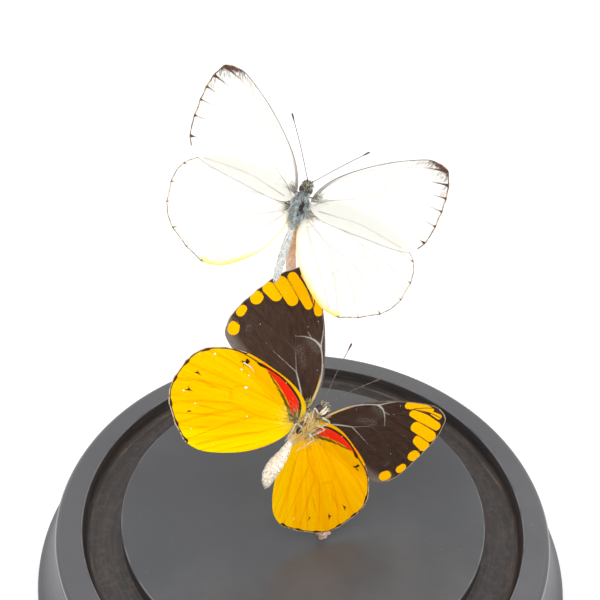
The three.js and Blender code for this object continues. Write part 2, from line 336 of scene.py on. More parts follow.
def twig_rings(count=420, sides=28):
    """The radius falls evenly from foot to top, swells at each knuckle, and has lengthwise bark ridges that
    wander, as a few sines of turn and height."""
    along = np.linspace(0, 1, count)[:, None]
    turn = np.linspace(0, 2 * np.pi, sides, endpoint=False)[None]
    radius = TWIG_FOOT + (TWIG_TOP - TWIG_FOOT) * along
    radius = radius + KNUCKLE * np.maximum(0, np.cos(2 * np.pi * KNUCKLES * along)) ** 3
    ridges = np.sin(5 * turn + 3 * np.sin(9 * along)) + 0.6 * np.sin(9 * turn - 14 * along)
    lumps = np.sin(41 * along + 2 * turn) * np.sin(67 * along - turn)
    return rod(smooth_path(TWIG_PATH, count), radius + 0.045 * ridges + 0.05 * lumps, [0, -1, 0])


def dry_bark():
    finish = Finish("dry_bark")
    place = finish.place()
    streaks = finish.noise(finish.stretched(place, (1, 1, 0.18)), 1600, 5, 0.6)
    patches = finish.noise(place, 160, 3)
    color = finish.mix(finish.between(streaks, 0.3, 0.65), display(202, 170, 158), display(250, 228, 214))
    color = finish.mix(finish.between(patches, 0.54, 0.66) * 0.5, color, display(104, 74, 60))
    return finish.done(color, 0.75 + streaks * 0.15, streaks, depth=0.0001)


fitted("leaning_twig", rings_mesh("twig", twig_rings()), dry_bark(), "bark", "twig")

# ---- Glue -----------------------------------------------------------------------------------------------
# Dried glue: a lumpy bead round the twig's foot, which holds it to the platform. It has set cloudy, brown in
# some places and pale in others, and its edge wanders.

GLUE_FOOT = [6.3, -11.8]


def foot_bead(count=40, sides=96):
    """A low dome round the foot: height falls from the twig outwards as a quarter cosine, and the bead's
    width wanders with the turn as a few sines."""
    turn = np.linspace(0, 2 * np.pi, sides, endpoint=False)[None]
    along = np.linspace(0, 1, count)[:, None]
    width = 0.75 + 0.3 * np.sin(3 * turn + 0.5) + 0.2 * np.sin(7 * turn + 2)
    radius = 1.6 + width * (1 - along)
    height = 0.02 + 1.0 * np.sin(0.5 * np.pi * along) * (1 + 0.25 * np.sin(5 * turn))
    x = GLUE_FOOT[0] + radius * np.cos(turn)
    y = GLUE_FOOT[1] + radius * np.sin(turn)
    return np.stack([x, y, BASE_TOP + height], axis=-1)


def dried_glue():
    finish = Finish("dried_glue", IOR=1.5)
    place = finish.place()
    clouds = finish.noise(place, 500, 3)
    color = finish.mix(finish.between(clouds, 0.35, 0.7), display(150, 112, 92), display(228, 196, 176))
    return finish.done(color, 0.16 + clouds * 0.25, clouds, depth=0.0001)


glue = dried_glue()
fitted("glue_at_the_foot", rings_mesh("foot_glue", foot_bead()), glue, "glue", "foot_glue")

# ---- Wings ----------------------------------------------------------------------------------------------
# Each wing is a membrane of two skins stiffened by hollow veins, and covered on both faces by dust-fine
# scales. The upper face is white with a dark tip, and the under face is brown-black or yellow with spots, a
# red streak and dark lines. Wings are worked out flat: x goes out along the wing, y towards the tail, in mm.

FOREWING = [[0, 0], [8.4, -4.4], [22.3, -5.2], [34.5, -3.7], [39.4, -1.8], [41.9, 2.0], [39.2, 9.5],
            [31.3, 19.6], [25.6, 23.3], [21.0, 22.6], [12.9, 17.0], [0.5, 6.5]]
HINDWING = [[-0.6, -1.2], [2.2, -4.9], [8.3, -6.1], [15.7, -5.3], [25.1, -3.0], [33.1, 2.5], [35.6, 9.4],
            [32.4, 20.3], [22.0, 26.6], [14.0, 26.6], [4.8, 18.5], [-0.3, 8.6]]
FOREWING_VEINS = {
    "subcosta": [[0.5, 0.2], [2.9, -1.7], [9.2, -4.1], [15.4, -5.0], [20.5, -5.4]],
    "radius": [[0.5, 1.0], [2.9, -1.3], [9.2, -3.7], [15.5, -4.2], [18.5, -3.9], [27.0, -2.4], [36.0, -0.6],
               [41.9, 2.2]],
    "radial branch": [[18.5, -3.9], [23.2, -4.6], [29.0, -4.8]],
    "tip branch": [[30.0, -2.0], [35.0, -2.3], [39.0, -1.9]],
    "first median": [[18.9, -3.2], [22.5, -1.2], [31.0, 1.6], [40.4, 6.3]],
    "second median": [[21.4, 0.1], [29.5, 4.6], [38.5, 10.2]],
    "third median": [[21.9, 3.5], [29.5, 8.6], [35.9, 13.9]],
    "cell end": [[18.5, -3.9], [20.2, -2.2], [21.4, 0.1], [21.9, 3.5]],
    "cubitus": [[0.5, 2.0], [3.4, 1.8], [11.0, 3.2], [17.0, 3.2], [21.9, 3.5]],
    "first cubital": [[17.5, 3.3], [24.5, 9.6], [32.4, 17.6]],
    "second cubital": [[11.1, 3.2], [17.8, 9.9], [27.6, 21.2]],
    "anal": [[1.0, 4.3], [5.2, 7.2], [10.7, 11.0], [15.4, 15.6], [21.0, 21.6]],
}
HINDWING_VEINS = {
    "subcosta": [[1.0, 0.0], [3.5, -2.8], [10.0, -4.4], [19.2, -3.4], [24.9, -2.2], [31.0, 0.2]],
    "radius": [[1.5, 1.0], [8.0, 1.0], [17.0, 0.9], [25.0, 1.6], [33.4, 4.2]],
    "first median": [[8.0, 1.0], [14.0, 2.8], [18.5, 4.5], [25.8, 7.2], [34.9, 10.6]],
    "cell end": [[18.5, 4.5], [20.0, 7.3], [17.2, 10.3]],
    "second median": [[20.0, 7.3], [27.0, 11.0], [34.0, 16.4]],
    "cubitus": [[1.5, 2.6], [5.0, 5.0], [9.5, 7.8], [17.2, 10.3]],
    "third median": [[17.2, 10.3], [23.5, 15.5], [29.6, 22.2]],
    "first cubital": [[14.0, 9.6], [19.0, 16.6], [24.2, 25.4]],
    "second cubital": [[9.5, 7.8], [14.0, 16.5], [18.8, 27.0]],
    "anal": [[1.5, 4.2], [6.0, 11.3], [12.5, 20.8], [15.4, 25.6]],
}
WING_ROUND, WING_ACROSS = 400, 66
WING_SHEET = 0.05  # half the thickness of the membrane
HINGE_OUT = 2.6
WING_ARCH, WING_SPAN = 1.0, 38.0
WING_DROOP, WING_DEPTH = 0.7, 28.0
BUTTERFLIES = {
    "upper": dict(size=0.96, place=[-5.0, 22.2, 123.4], heading=-22.2, pitch=37.2, roll=28.3, raised=14.3,
                  sweep={("fore", -1): 36.9, ("fore", 1): 35.9, ("hind", -1): -0.3, ("hind", 1): 1.3}),
    "lower": dict(size=1.0, place=[0.1, -8.2, 68.9], heading=-60.3, pitch=37.3, roll=-112.6, raised=8.7,
                  sweep={("fore", -1): 42.0, ("fore", 1): 42.6, ("hind", -1): 0.4, ("hind", 1): 0.2}),
}
HANDS = {"left": -1, "right": 1}


def closed_curve(points, count):
    """A closed curve through the points, whose slope at each is half the step between its neighbours, given
    back as count points spaced evenly along it, and where along it each of the given points is."""
    points = np.array(points, float)
    slope = (np.roll(points, -1, axis=0) - np.roll(points, 1, axis=0)) / 2
    t = np.linspace(0, 1, 200, endpoint=False)[None, :, None]
    after, next_slope = np.roll(points, -1, axis=0)[:, None], np.roll(slope, -1, axis=0)[:, None]
    curve = (2 * t**3 - 3 * t**2 + 1) * points[:, None] + (t**3 - 2 * t**2 + t) * slope[:, None]
    curve = (curve + (3 * t**2 - 2 * t**3) * after + (t**3 - t**2) * next_slope).reshape(-1, 2)
    loop = np.concatenate([curve, curve[:1]])
    run = np.concatenate([[0], np.cumsum(np.linalg.norm(np.diff(loop, axis=0), axis=1))])
    even = np.linspace(0, run[-1], count, endpoint=False)
    return np.stack([np.interp(even, run, column) for column in loop.T], axis=-1), run[:-1:200] / run[-1]


def stroke(flat, points, widths):
    """How far each flat point is outside a brush stroke along a smooth path: the least, over the path's
    short segments, of the distance to the segment less the half-width there, which runs evenly along it."""
    points = np.array(points, float)
    widths = np.broadcast_to(np.array(widths, float), len(points))
    line = smooth_path(np.column_stack([points, widths]), 5 * len(points) - 8)
    points, widths = line[:, :2], np.maximum(line[:, 2], 0)
    outside = np.full(len(flat), np.inf)
    for start, end, wide, narrow in zip(points[:-1], points[1:], widths[:-1], widths[1:]):
        step = end - start
        share = np.clip((flat - start) @ step / (step @ step), 0, 1)
        away = np.linalg.norm(flat - start - share[:, None] * step, axis=1)
        outside = np.minimum(outside, away - (wide + (narrow - wide) * share))
    return outside


def strokes(flat, several):
    """The least of several strokes."""
    return np.min([stroke(flat, points, widths) for points, widths in several], axis=0)


def apart(flat, line):
    """The distance from each flat point to the nearest of a line's points."""
    parts = np.array_split(flat, 40)
    return np.concatenate([np.sqrt(((p[:, None] - line) ** 2).sum(-1)).min(axis=1) for p in parts])


def turn_matrix(heading, pitch, roll):
    """Heading about +Z, then pitch about the butterfly's own right, then roll about its own length."""
    return np.array(Matrix.Rotation(np.radians(heading), 3, "Z") @ Matrix.Rotation(np.radians(pitch), 3, "X")
                    @ Matrix.Rotation(np.radians(roll), 3, "Y"))


def in_place(butterfly, points):
    """Points given as right, ahead and up from mid thorax, moved to where the butterfly is."""
    turn = turn_matrix(butterfly["heading"], butterfly["pitch"], butterfly["roll"])
    return butterfly["size"] * points @ turn.T + butterfly["place"]


def flat_wing(outline, veins, vein_ends):
    """The flat wing as rings from its middle out to its edge, which draws in a little between the vein ends:
    point = middle + share * (edge point - middle), with the shares packed towards the edge."""
    edge = closed_curve(outline, WING_ROUND)[0]
    middle = np.mean(outline, axis=0)
    ends = np.array([veins[name][-1] for name in vein_ends], float)
    margin = apart(edge, ends)
    near = np.exp(-((margin / 1.3) ** 2))
    reach = np.exp(-((margin / 5.0) ** 4))
    edge = edge - (edge - middle) * (0.014 * (1 - near) * reach)[:, None]
    share = 1 - (1 - np.linspace(1 / WING_ACROSS, 1, WING_ACROSS)) ** 1.25
    return middle + share[:, None, None] * (edge - middle)


def wing_surface(flat, vein, sweep, hinge, butterfly, side, face):
    """The flat wing swung back by sweep, arched as half a sine across the span, and drooping with the square
    of the distance behind or ahead of the hinge line. Veins stand out from both faces as low ridges, the skin
    between them sinks, and pleats fan out from the hinge; face is 1 above and -1 below."""
    x, y = flat.T
    out = HINGE_OUT + x * np.cos(sweep) + y * np.sin(sweep)
    back = -hinge["ahead"] - x * np.sin(sweep) + y * np.cos(sweep)
    up = hinge["lift"] + WING_ARCH * np.sin(np.pi * out / WING_SPAN) - WING_DROOP * (back / WING_DEPTH) ** 2
    away = np.hypot(x, y)
    fan = np.arctan2(y + 2, x + 4)
    pleats = 0.10 * np.sin(hinge["pleats"] * fan + 0.6) * np.minimum(1, away / 18)
    hollow = -0.03 * (1 - np.exp(-((vein / 1.1) ** 2))) * np.minimum(1, away / 8)
    ridge = 0.02 * np.exp(-((vein / 0.28) ** 2))
    up = up + pleats + hollow + face * (WING_SHEET + ridge)
    raised = np.radians(butterfly["raised"])
    right = side * (out * np.cos(raised) - up * np.sin(raised))
    return np.stack([right, -back, out * np.sin(raised) + up * np.cos(raised)], axis=-1)


def wing_mesh(name, butterfly, side, kind, flat_rings, hinge, fields, stretches):
    """Both faces of a wing as one closed skin: rings from the middle of the under face out to the edge, and
    back to the middle of the upper face. fields gives the marks' numbers at each flat point."""
    across, around = flat_rings.shape[:2]
    flat = flat_rings.reshape(-1, 2)
    numbers = fields(flat)
    for stretch, (start, end) in stretches.items():
        numbers[stretch] = apart(flat, flat_rings[-1][int(start * around):int(end * around) + 1])
    order = np.arange(across * around).reshape(across, around)
    order = np.concatenate([order, order[-2::-1]])
    face = np.concatenate([np.full(across - 1, -1.0), [0.0], np.full(across - 1, 1.0)])
    face = np.broadcast_to(face[:, None], order.shape)
    order = order[:, ::-side]
    sweep = np.radians(butterfly["sweep"][kind, side])
    points = wing_surface(flat[order.ravel()], numbers["vein"][order.ravel()], sweep, hinge, butterfly, side,
                          face.ravel())
    mesh = rings_mesh(name, in_place(butterfly, points).reshape(*order.shape, 3))
    ends = [0, -1]

    def with_ends(grid):
        grid = grid.reshape(*order.shape, -1)
        whole = np.concatenate([grid.reshape(-1, grid.shape[-1]), grid[ends].mean(axis=1)])
        return whole[:, 0] if whole.shape[1] == 1 else whole

    for key, values in numbers.items():
        carried(mesh, key, with_ends(values[order]))
    carried(mesh, "face", with_ends(face))
    spread = np.concatenate([flat[order.ravel()], np.zeros((order.size, 1))], axis=1)
    carried(mesh, "flat", with_ends(spread))
    bake_map(mesh, with_ends(spread), with_ends(face))
    return mesh


def bake_map(mesh, flat, face):
    """A map that lays the under face out in the left half of the square and the upper face in the right."""
    corners = np.zeros(len(mesh.loops), np.int32)
    mesh.loops.foreach_get("vertex_index", corners)
    totals = np.zeros(len(mesh.polygons), np.int32)
    mesh.polygons.foreach_get("loop_total", totals)
    owner = np.repeat(np.arange(len(totals)), totals)
    upper = np.bincount(owner, face[corners]) > 0
    low, high = flat[:, :2].min(axis=0), flat[:, :2].max(axis=0)
    unit = (flat[corners, :2] - low) / (high - low)
    u = 0.01 + 0.48 * unit[:, 0] + 0.5 * upper[owner]
    v = 0.01 + 0.98 * unit[:, 1]
    mesh.uv_layers.new(name="OFBake").data.foreach_set("uv", np.stack([u, v], -1).astype(np.float32).ravel())


# Forewing marks, as strokes of [points], [half-widths]. Above: the dark tip, and a dash at each vein end.
TIP_PATCH = [([[33.5, -4.2], [36.8, -3.2], [39.2, -1.6], [40.9, 0.6], [41.6, 3.0], [40.8, 6.4], [39.0, 9.8]],
              [0.2, 1.2, 2.3, 2.6, 2.0, 1.3, 0.4])]
FOREWING_DASHES = [
    ([[42.2, 2.6], [39.0, 0.9], [34.6, -0.9]], [0.6, 0.24, 0.02]),
    ([[40.8, 6.6], [39.4, 5.8], [37.8, 5.0], [35.4, 3.9]], [0.85, 0.3, 0.18, 0.02]),
    ([[38.9, 10.5], [37.9, 9.8], [36.6, 9.0], [35.0, 8.1]], [0.75, 0.24, 0.13, 0.02]),
    ([[36.2, 14.2], [35.4, 13.4], [34.4, 12.6], [32.9, 11.5]], [0.65, 0.2, 0.11, 0.02]),
    ([[32.8, 18.0], [32.1, 17.3], [31.3, 16.5], [30.3, 15.5]], [0.6, 0.17, 0.09, 0.02]),
    ([[27.9, 21.7], [27.3, 20.9], [26.7, 20.2]], [0.5, 0.14, 0.02]),
]
# Below: yellow spots between the vein ends, and veins rubbed pale.
FOREWING_SPOTS = [
    ([[28.6, -3.3], [32.0, -2.9], [36.4, -1.4]], [1.2, 1.5, 0.9]),
    ([[37.0, -0.4], [39.5, 0.9]], [0.6, 0.85]),
    ([[30.6, -0.4], [34.4, 1.4], [39.0, 4.1]], [1.15, 1.6, 1.5]),
    ([[32.4, 4.2], [37.6, 7.5]], [1.7, 1.9]),
    ([[34.0, 8.8], [36.2, 10.9]], [1.75, 1.75]),
    ([[33.3, 14.4], [33.7, 14.1]], [1.75, 1.75]),
    ([[29.5, 18.9], [30.4, 18.2]], [1.25, 1.15]),
    ([[24.6, 21.0], [25.4, 20.8]], [1.65, 1.6]),
]
RUBBED_PALE = [
    ([[1.0, -0.4], [2.9, -1.5], [9.2, -3.9], [15.5, -4.3], [18.5, -3.9]], [0.42, 0.34, 0.2, 0.14, 0.2]),
    ([[18.5, -3.9], [23.2, -4.7], [29.0, -4.9]], [0.18, 0.08, 0.04]),
    ([[18.5, -3.9], [20.2, -2.4], [21.4, 0.1], [21.9, 3.5]], [0.32, 0.2, 0.1, 0.0]),
    ([[20.6, -1.6], [22.9, -0.2]], [0.08, 0.0]),
    ([[1.0, 2.2], [3.4, 1.8], [7.5, 2.4], [11.2, 3.2]], [0.38, 0.26, 0.18, 0.12]),
    ([[11.2, 3.2], [14.5, 6.5], [17.8, 9.9]], [0.1, 0.06, 0.0]),
    ([[11.2, 3.2], [17.0, 3.4]], [0.05, 0.0]),
]
SCUFFS = [([[18.2, -3.0], [20.6, -0.6]], [1.1, 0.7]), ([[13.0, 0.9], [18.0, 2.2]], [0.2, 0.8]),
          ([[24.5, 17.0], [25.0, 16.6]], [0.3, 0.2])]
HINDWING_DASHES = [
    ([[33.9, 4.3], [33.2, 4.1]], [0.3, 0.0]),
    ([[35.6, 10.9], [34.3, 10.4]], [0.34, 0.0]),
    ([[34.6, 16.7], [33.3, 16.0]], [0.34, 0.0]),
    ([[30.0, 22.6], [28.9, 21.5]], [0.34, 0.0]),
    ([[24.5, 26.0], [23.9, 24.9]], [0.32, 0.0]),
    ([[18.9, 27.4], [18.5, 26.6]], [0.3, 0.0]),
]
# Hindwing marks below: the red streak, the black lines beside it, and small forked marks before the margin.
RED_STREAK = [([[2.4, -1.1], [4.2, -2.3], [8.0, -3.5], [12.8, -4.15], [17.0, -4.2], [20.0, -3.9]],
               [1.25, 1.4, 1.3, 0.9, 0.45, 0.05])]
BLACK_LINES = [
    ([[0.2, 1.2], [0.9, -0.9], [3.0, -3.6], [8.0, -5.0], [13.5, -5.0], [19.0, -3.75]],
     [0.55, 0.45, 0.34, 0.3, 0.24, 0.2]),
    ([[19.0, -3.75], [24.9, -2.4], [29.2, -0.9], [31.4, 0.6]], [0.16, 0.13, 0.13, 0.1]),
    ([[17.4, -3.9], [19.6, -3.4], [20.4, -3.2]], [0.1, 0.42, 0.1]),
]
STREAK_SHADE = [([[1.6, 1.3], [4.4, -0.2], [8.6, -1.75], [13.4, -2.95], [17.4, -3.85]],
                 [0.55, 0.5, 0.34, 0.22, 0.05])]
FORKED_MARKS = [
    ([[30.4, 10.7], [31.4, 11.4]], [0.38, 0.04]),
    ([[30.4, 10.7], [31.0, 9.9]], [0.2, 0.02]),
    ([[30.4, 10.7], [28.9, 10.6]], [0.28, 0.04]),
    ([[28.6, 15.8], [29.6, 16.9]], [0.38, 0.04]),
    ([[28.6, 15.8], [29.6, 15.2]], [0.3, 0.04]),
    ([[28.6, 15.8], [27.4, 15.3]], [0.28, 0.04]),
    ([[24.0, 20.2], [24.3, 21.3]], [0.28, 0.04]),
    ([[24.0, 20.2], [23.2, 19.8]], [0.22, 0.04]),
    ([[22.6, -1.5], [22.2, -0.2]], [0.55, 0.12]),
    ([[22.6, -1.0], [21.2, -0.4]], [0.32, 0.05]),
    ([[23.2, -0.6], [24.3, -0.5]], [0.25, 0.05]),
]


def forewing_fields(flat):
    return {
        "vein": strokes(flat, [(line, 0) for line in FOREWING_VEINS.values()]),
        "tip": strokes(flat, TIP_PATCH),
        "dash": strokes(flat, FOREWING_DASHES),
        "spot": strokes(flat, FOREWING_SPOTS),
        "pale": strokes(flat, RUBBED_PALE),
        "scuff": strokes(flat, SCUFFS),
    }


def hindwing_fields(flat):
    return {
        "vein": strokes(flat, [(line, 0) for line in HINDWING_VEINS.values()]),
        "dash": strokes(flat, HINDWING_DASHES),
        "streak": strokes(flat, RED_STREAK),
        "line": strokes(flat, BLACK_LINES),
        "shade": strokes(flat, STREAK_SHADE),
        "mark": strokes(flat, FORKED_MARKS),
    }


MEMBRANE = dict(Specular_IOR_Level=0.0, Subsurface_Weight=0.45, Subsurface_Radius=(1, 1, 1),
                Subsurface_Scale=0.0008)


def white_upper_face(finish, root, ragged, fine):
    """The white ground shared by both wings, with cream veins and grey hair-like scales at the root."""
    vein = finish.own("vein")
    white = finish.mix(fine, display(246, 245, 232), display(252, 251, 240))
    faint = finish.between(vein, 0.4, 0.05) * finish.between(ragged, 0.2, 0.55)
    white = finish.mix(faint * 0.62, white, display(200, 178, 168))
    streaks = finish.between(ragged, 0.42, 0.62) * finish.between(root, 4.6, 0.8)
    white = finish.mix(streaks * 0.7, white, display(92, 92, 76))
    greyed = finish.between(vein, 0.26, 0.06) * finish.between(root, 13, 4) * 0.5
    return finish.mix(greyed, white, display(104, 98, 92))


def wing_grain(finish):
    """Flat coordinates, distance from the hinge, noise drawn out along the wing, and the fine grain."""
    flat = finish.spread("flat")
    x = finish.node("ShaderNodeSeparateXYZ", {}, {0: flat}, output=0)
    y = finish.node("ShaderNodeSeparateXYZ", {}, {0: flat}, output=1)
    root = finish.math("SQRT", x * x + y * y)
    fan = finish.math("ARCTAN2", y + 3.0, x + 6.0)
    polar = finish.node("ShaderNodeCombineXYZ", {}, {0: fan * 14.0, 1: root * 0.12, 2: 0.0})
    ragged = finish.noise(polar, 2.4, 5, 0.6)
    fine = finish.noise(flat, 5.0, 3, 0.6)
    return flat, root, polar, ragged, fine


def forewing_scales(name, yellow):
    finish = Finish(name, **MEMBRANE)
    flat, root, polar, ragged, fine = wing_grain(finish)
    costa, outer, inner = finish.own("costa"), finish.own("outer"), finish.own("inner")
    vein, wobble = finish.own("vein"), (fine - 0.5) * 0.5

    turned_flat = finish.node("ShaderNodeVectorRotate", {}, {0: flat, "Angle": 0.5})
    slant = finish.stretched(turned_flat, (0.25, 2.2, 1))
    hairy = finish.noise(slant, 2.0, 4, 0.6)
    upper = white_upper_face(finish, root, ragged, fine)
    dark = display(62, 42, 38)
    tip = finish.own("tip")
    dusted = finish.between(tip - (hairy - 0.5) * 8.0, 2.8, -0.4) * finish.between(hairy, 0.42, 0.6)
    upper = finish.mix(dusted * 0.85, upper, display(120, 104, 104))
    upper = finish.mix(finish.between(tip - (hairy - 0.5) * 4.0 + wobble, -0.3, -1.6), upper, dark)
    upper = finish.mix(finish.between(finish.own("dash") + wobble * 0.3, 0.12, -0.12), upper, dark)
    rim = finish.mix(finish.between(ragged, 0.45, 0.6), display(70, 50, 44), display(170, 128, 60))
    upper = finish.mix(finish.between(outer + wobble * 0.3, 0.48, 0.3) * 0.95, upper, rim)
    front = costa - finish.between(root, 16, 2) * 0.5
    upper = finish.mix(finish.between(front + wobble * 0.4, 0.5, 0.25) * 0.9, upper, display(96, 90, 88))
    paler = finish.between(finish.math("ABSOLUTE", costa - 0.5), 0.16, 0.04) * finish.between(root, 15, 10)
    upper = finish.mix(paler * 0.7, upper, display(206, 204, 200))

    rough_patch = finish.between(ragged, 0.35, 0.65)
    under = finish.mix(finish.between(fine, 0.3, 0.7), display(27, 20, 17), display(46, 34, 28))
    under = finish.mix(rough_patch * 0.2, under, display(74, 52, 40))
    satin = finish.between(inner + (ragged - 0.5) * 1.5, 4.0, 0.3) * finish.between(root, 10, 22)
    under = finish.mix(satin * 0.5, under, display(136, 118, 104))
    grit = finish.between(finish.noise(flat, 3.4, 3, 0.75), 0.53, 0.6)
    scuffed = finish.between(finish.own("scuff") + (fine - 0.5) * 2.0, 1.4, -0.6) * grit
    under = finish.mix(scuffed * 0.3, under, display(170, 158, 148))
    spot = finish.own("spot") + wobble * 0.35
    under = finish.mix(finish.between(spot, 0.07, -0.07), under, yellow)
    divided = finish.between(vein, 0.17, 0.08) * finish.between(root, 29, 31)
    under = finish.mix(divided, under, display(44, 32, 26))
    rubbed = finish.between(finish.own("pale") + (fine - 0.5) * 0.7, 0.12, -0.1)
    under = finish.mix(rubbed * 0.66, under, display(200, 194, 186))
    thin_vein = finish.between(vein, 0.16, 0.05) * 0.12 * finish.between(root, 26, 18)
    under = finish.mix(thin_vein, under, display(140, 120, 104))
    under = finish.mix(finish.between(costa, 0.55, 0.3) * 0.8, under, display(112, 96, 84))
    under = finish.mix(finish.between(costa, 0.28, 0.12) * 0.9, under, display(60, 48, 42))
    under = finish.mix(finish.between(outer, 0.34, 0.16) * 0.8, under, display(176, 152, 118))
    gold = finish.between(finish.math("ABSOLUTE", costa - 1.0), 0.3, 0.1) * finish.between(root, 12, 7)
    under = finish.mix(gold * 0.8, under, display(226, 178, 40))
    lint = finish.specks(flat, 0.7, 0.10, 0.2) + finish.specks(flat, 2.0, 0.12, 0.1) * 0.5
    under = finish.mix(lint * 0.8, under, display(220, 210, 196))

    color = finish.mix(finish.math("GREATER_THAN", finish.own("face"), 0.0), under, upper)
    relief = fine + finish.noise(polar, 9, 2)
    return finish.done(color, 0.62 + fine * 0.2, relief, depth=0.00006, strength=0.6)


def hindwing_scales(name, gold, shadow, bright, scratched=False, stained=False):
    finish = Finish(name, **MEMBRANE)
    crease_shade_color = display(232, 128, 0)
    flat, root, polar, ragged, fine = wing_grain(finish)
    outer, inner = finish.own("outer"), finish.own("inner")
    vein, dash, wobble = finish.own("vein"), finish.own("dash"), (fine - 0.5) * 0.5

    upper = white_upper_face(finish, root, ragged, fine)
    warm = finish.between(inner + (ragged - 0.5) * 2.4, 2.6, 0.0) * finish.between(root, 15, 23)
    upper = finish.mix(warm * 0.85, upper, display(250, 218, 70))
    upper = finish.mix(finish.between(inner + wobble, 0.9, 0.1) * 0.85, upper, display(250, 214, 84))
    blush = finish.between(inner, 7.0, 1.0) * finish.between(root, 24, 6) * 0.5
    upper = finish.mix(blush, upper, display(250, 232, 206))
    rim = finish.mix(finish.between(ragged, 0.45, 0.6), display(84, 66, 62), display(196, 156, 84))
    upper = finish.mix(finish.between(outer + wobble * 0.25, 0.4, 0.24) * 0.9, upper, rim)
    upper = finish.mix(finish.between(dash, 0.1, -0.08), upper, display(86, 66, 62))
    if stained:
        stain = finish.between(finish.own("stain") + wobble, 0.3, -0.3)
        upper = finish.mix(stain * 0.6, upper, display(238, 176, 90))

    # Painted shade: the under face is darker orange in its pleats, in creases beside the veins and along
    # folds out from the root.
    spokes = finish.stretched(polar, (1, 0.08, 1))
    pleat = finish.between(finish.noise(spokes, 1.1, 2, 0.5), 0.38, 0.66)
    under = finish.mix(finish.between(inner, 10, 1.5), gold, bright)
    under = finish.mix(pleat * 0.5, under, shadow)
    calm = finish.between(finish.noise(spokes, 0.9, 1), 0.35, 0.6)
    crease = finish.between(finish.math("ABSOLUTE", vein - 0.34), 0.2, 0.04) * finish.between(root, 5, 10)
    under = finish.mix(crease * calm * 0.5, under, crease_shade_color)
    fold = finish.between(finish.math("ABSOLUTE", finish.noise(spokes, 1.9, 0) - 0.5), 0.03, 0.0)
    under = finish.mix(fold * finish.between(root, 8, 12) * 0.6, under, crease_shade_color)
    under = finish.mix(finish.between(vein, 0.18, 0.06) * 0.55, under, display(222, 122, 0))
    feather = (ragged - 0.5) * 1.3
    olive = finish.between(finish.own("shade") + feather, 0.2, -0.15) * 0.9
    under = finish.mix(olive, under, display(60, 54, 18))
    streak = finish.between(finish.own("streak") + wobble * 0.3, 0.08, -0.08)
    under = finish.mix(streak, under, finish.mix(fine, display(248, 36, 14), display(240, 50, 26)))
    line = finish.between(finish.own("line") + wobble * 0.4, 0.1, -0.08)
    under = finish.mix(line, under, display(40, 34, 24))
    mark = finish.between(finish.own("mark") + wobble * 0.5, 0.1, -0.12)
    under = finish.mix(mark, under, display(66, 36, 12))
    border = outer - finish.between(dash, 1.5, 0.1) * 0.5 + wobble * 0.5
    under = finish.mix(finish.between(border, 0.6, 0.48), under, display(48, 32, 22))
    fringe = finish.between(outer + wobble * 0.3, 0.34, 0.2) * finish.between(inner, 46, 34)
    under = finish.mix(fringe * finish.between(ragged, 0.35, 0.55) * 0.85, under, display(226, 192, 138))
    if scratched:
        nick = finish.between(finish.own("nick") + wobble * 0.8, 0.15, -0.15)
        under = finish.mix(nick, under, display(58, 30, 10))
        under = finish.mix(finish.between(finish.own("scratch"), 0.06, -0.04), under, display(255, 246, 232))
    creamy = finish.between(root, 7, 1) * finish.between(inner, 0.5, 2.5) * finish.between(ragged, 0.45, 0.7)
    under = finish.mix(creamy * 0.5, under, display(236, 214, 140))
    lint = finish.specks(flat, 0.42, 0.07, 0.4) + finish.specks(flat, 1.6, 0.12, 0.07) * 0.6
    under = finish.mix(lint * 0.85, under, display(255, 240, 214))

    color = finish.mix(finish.math("GREATER_THAN", finish.own("face"), 0.0), under, upper)
    relief = fine + finish.noise(polar, 9, 2)
    return finish.done(color, 0.6 + fine * 0.2, relief, depth=0.00006, strength=0.6)


forewing_finish = forewing_scales("forewing_scales", display(255, 168, 0))
plain = hindwing_scales("hindwing_scales", display(255, 178, 0), display(250, 156, 0), display(255, 204, 0))
stained = hindwing_scales("hindwing_scales_stained", display(255, 178, 0), display(250, 156, 0),
                          display(255, 204, 0), stained=True)
# Painted shade: the lower butterfly's left hindwing gets a darker, more orange copy of the finish, for the
# less light that falls on it.
shaded_hindwing = hindwing_scales("hindwing_scales_shaded", display(255, 172, 0), display(250, 146, 0),
                         display(255, 182, 0))
marred = hindwing_scales("hindwing_scales_marred", display(255, 182, 0), display(250, 162, 0),
                         display(255, 210, 0), scratched=True)
hindwing_finishes = {("upper", "left"): plain, ("upper", "right"): stained, ("lower", "left"): shaded_hindwing,
                     ("lower", "right"): marred}
# Damage, as strokes too: a dark nick near one hindwing's front edge, with white scratches and rubbed dots,
# and two stains on another hindwing. All are marks in the colour, and the skin is whole.
NICK = [([[23.1, -1.8], [22.8, -0.9]], [0.3, 0.35]), ([[22.9, -0.9], [21.7, -0.7]], [0.25, 0.02]),
        ([[23.2, -0.6], [24.3, 0.2]], [0.3, 0.02]), ([[23.0, -0.4], [22.4, 0.7]], [0.2, 0.02])]
SCRATCHES = [([[23.2, -0.5], [20.6, -0.9], [18.6, -0.4]], [0.16, 0.1, 0.03]),
             ([[17.4, 4.1], [17.5, 4.2]], 0.34), ([[22.4, 1.4], [22.0, 1.3]], 0.15),
             ([[19.6, 1.0], [19.3, 1.1]], 0.12),
             ([[30.9, 3.4], [31.0, 3.5]], 0.24), ([[29.4, 17.0], [29.6, 17.1]], 0.2),
             ([[24.4, 17.4], [24.5, 17.5]], 0.18), ([[11.0, 9.8], [11.1, 9.9]], 0.16)]
STAINS = [([[13.2, 15.4], [13.4, 16.2]], [0.25, 0.15]), ([[14.4, 14.1], [14.7, 15.1]], [0.3, 0.15])]


def stained_hindwing_fields(flat):
    return hindwing_fields(flat) | {"stain": strokes(flat, STAINS)}


def marred_hindwing_fields(flat):
    return hindwing_fields(flat) | {"nick": strokes(flat, NICK), "scratch": strokes(flat, SCRATCHES)}


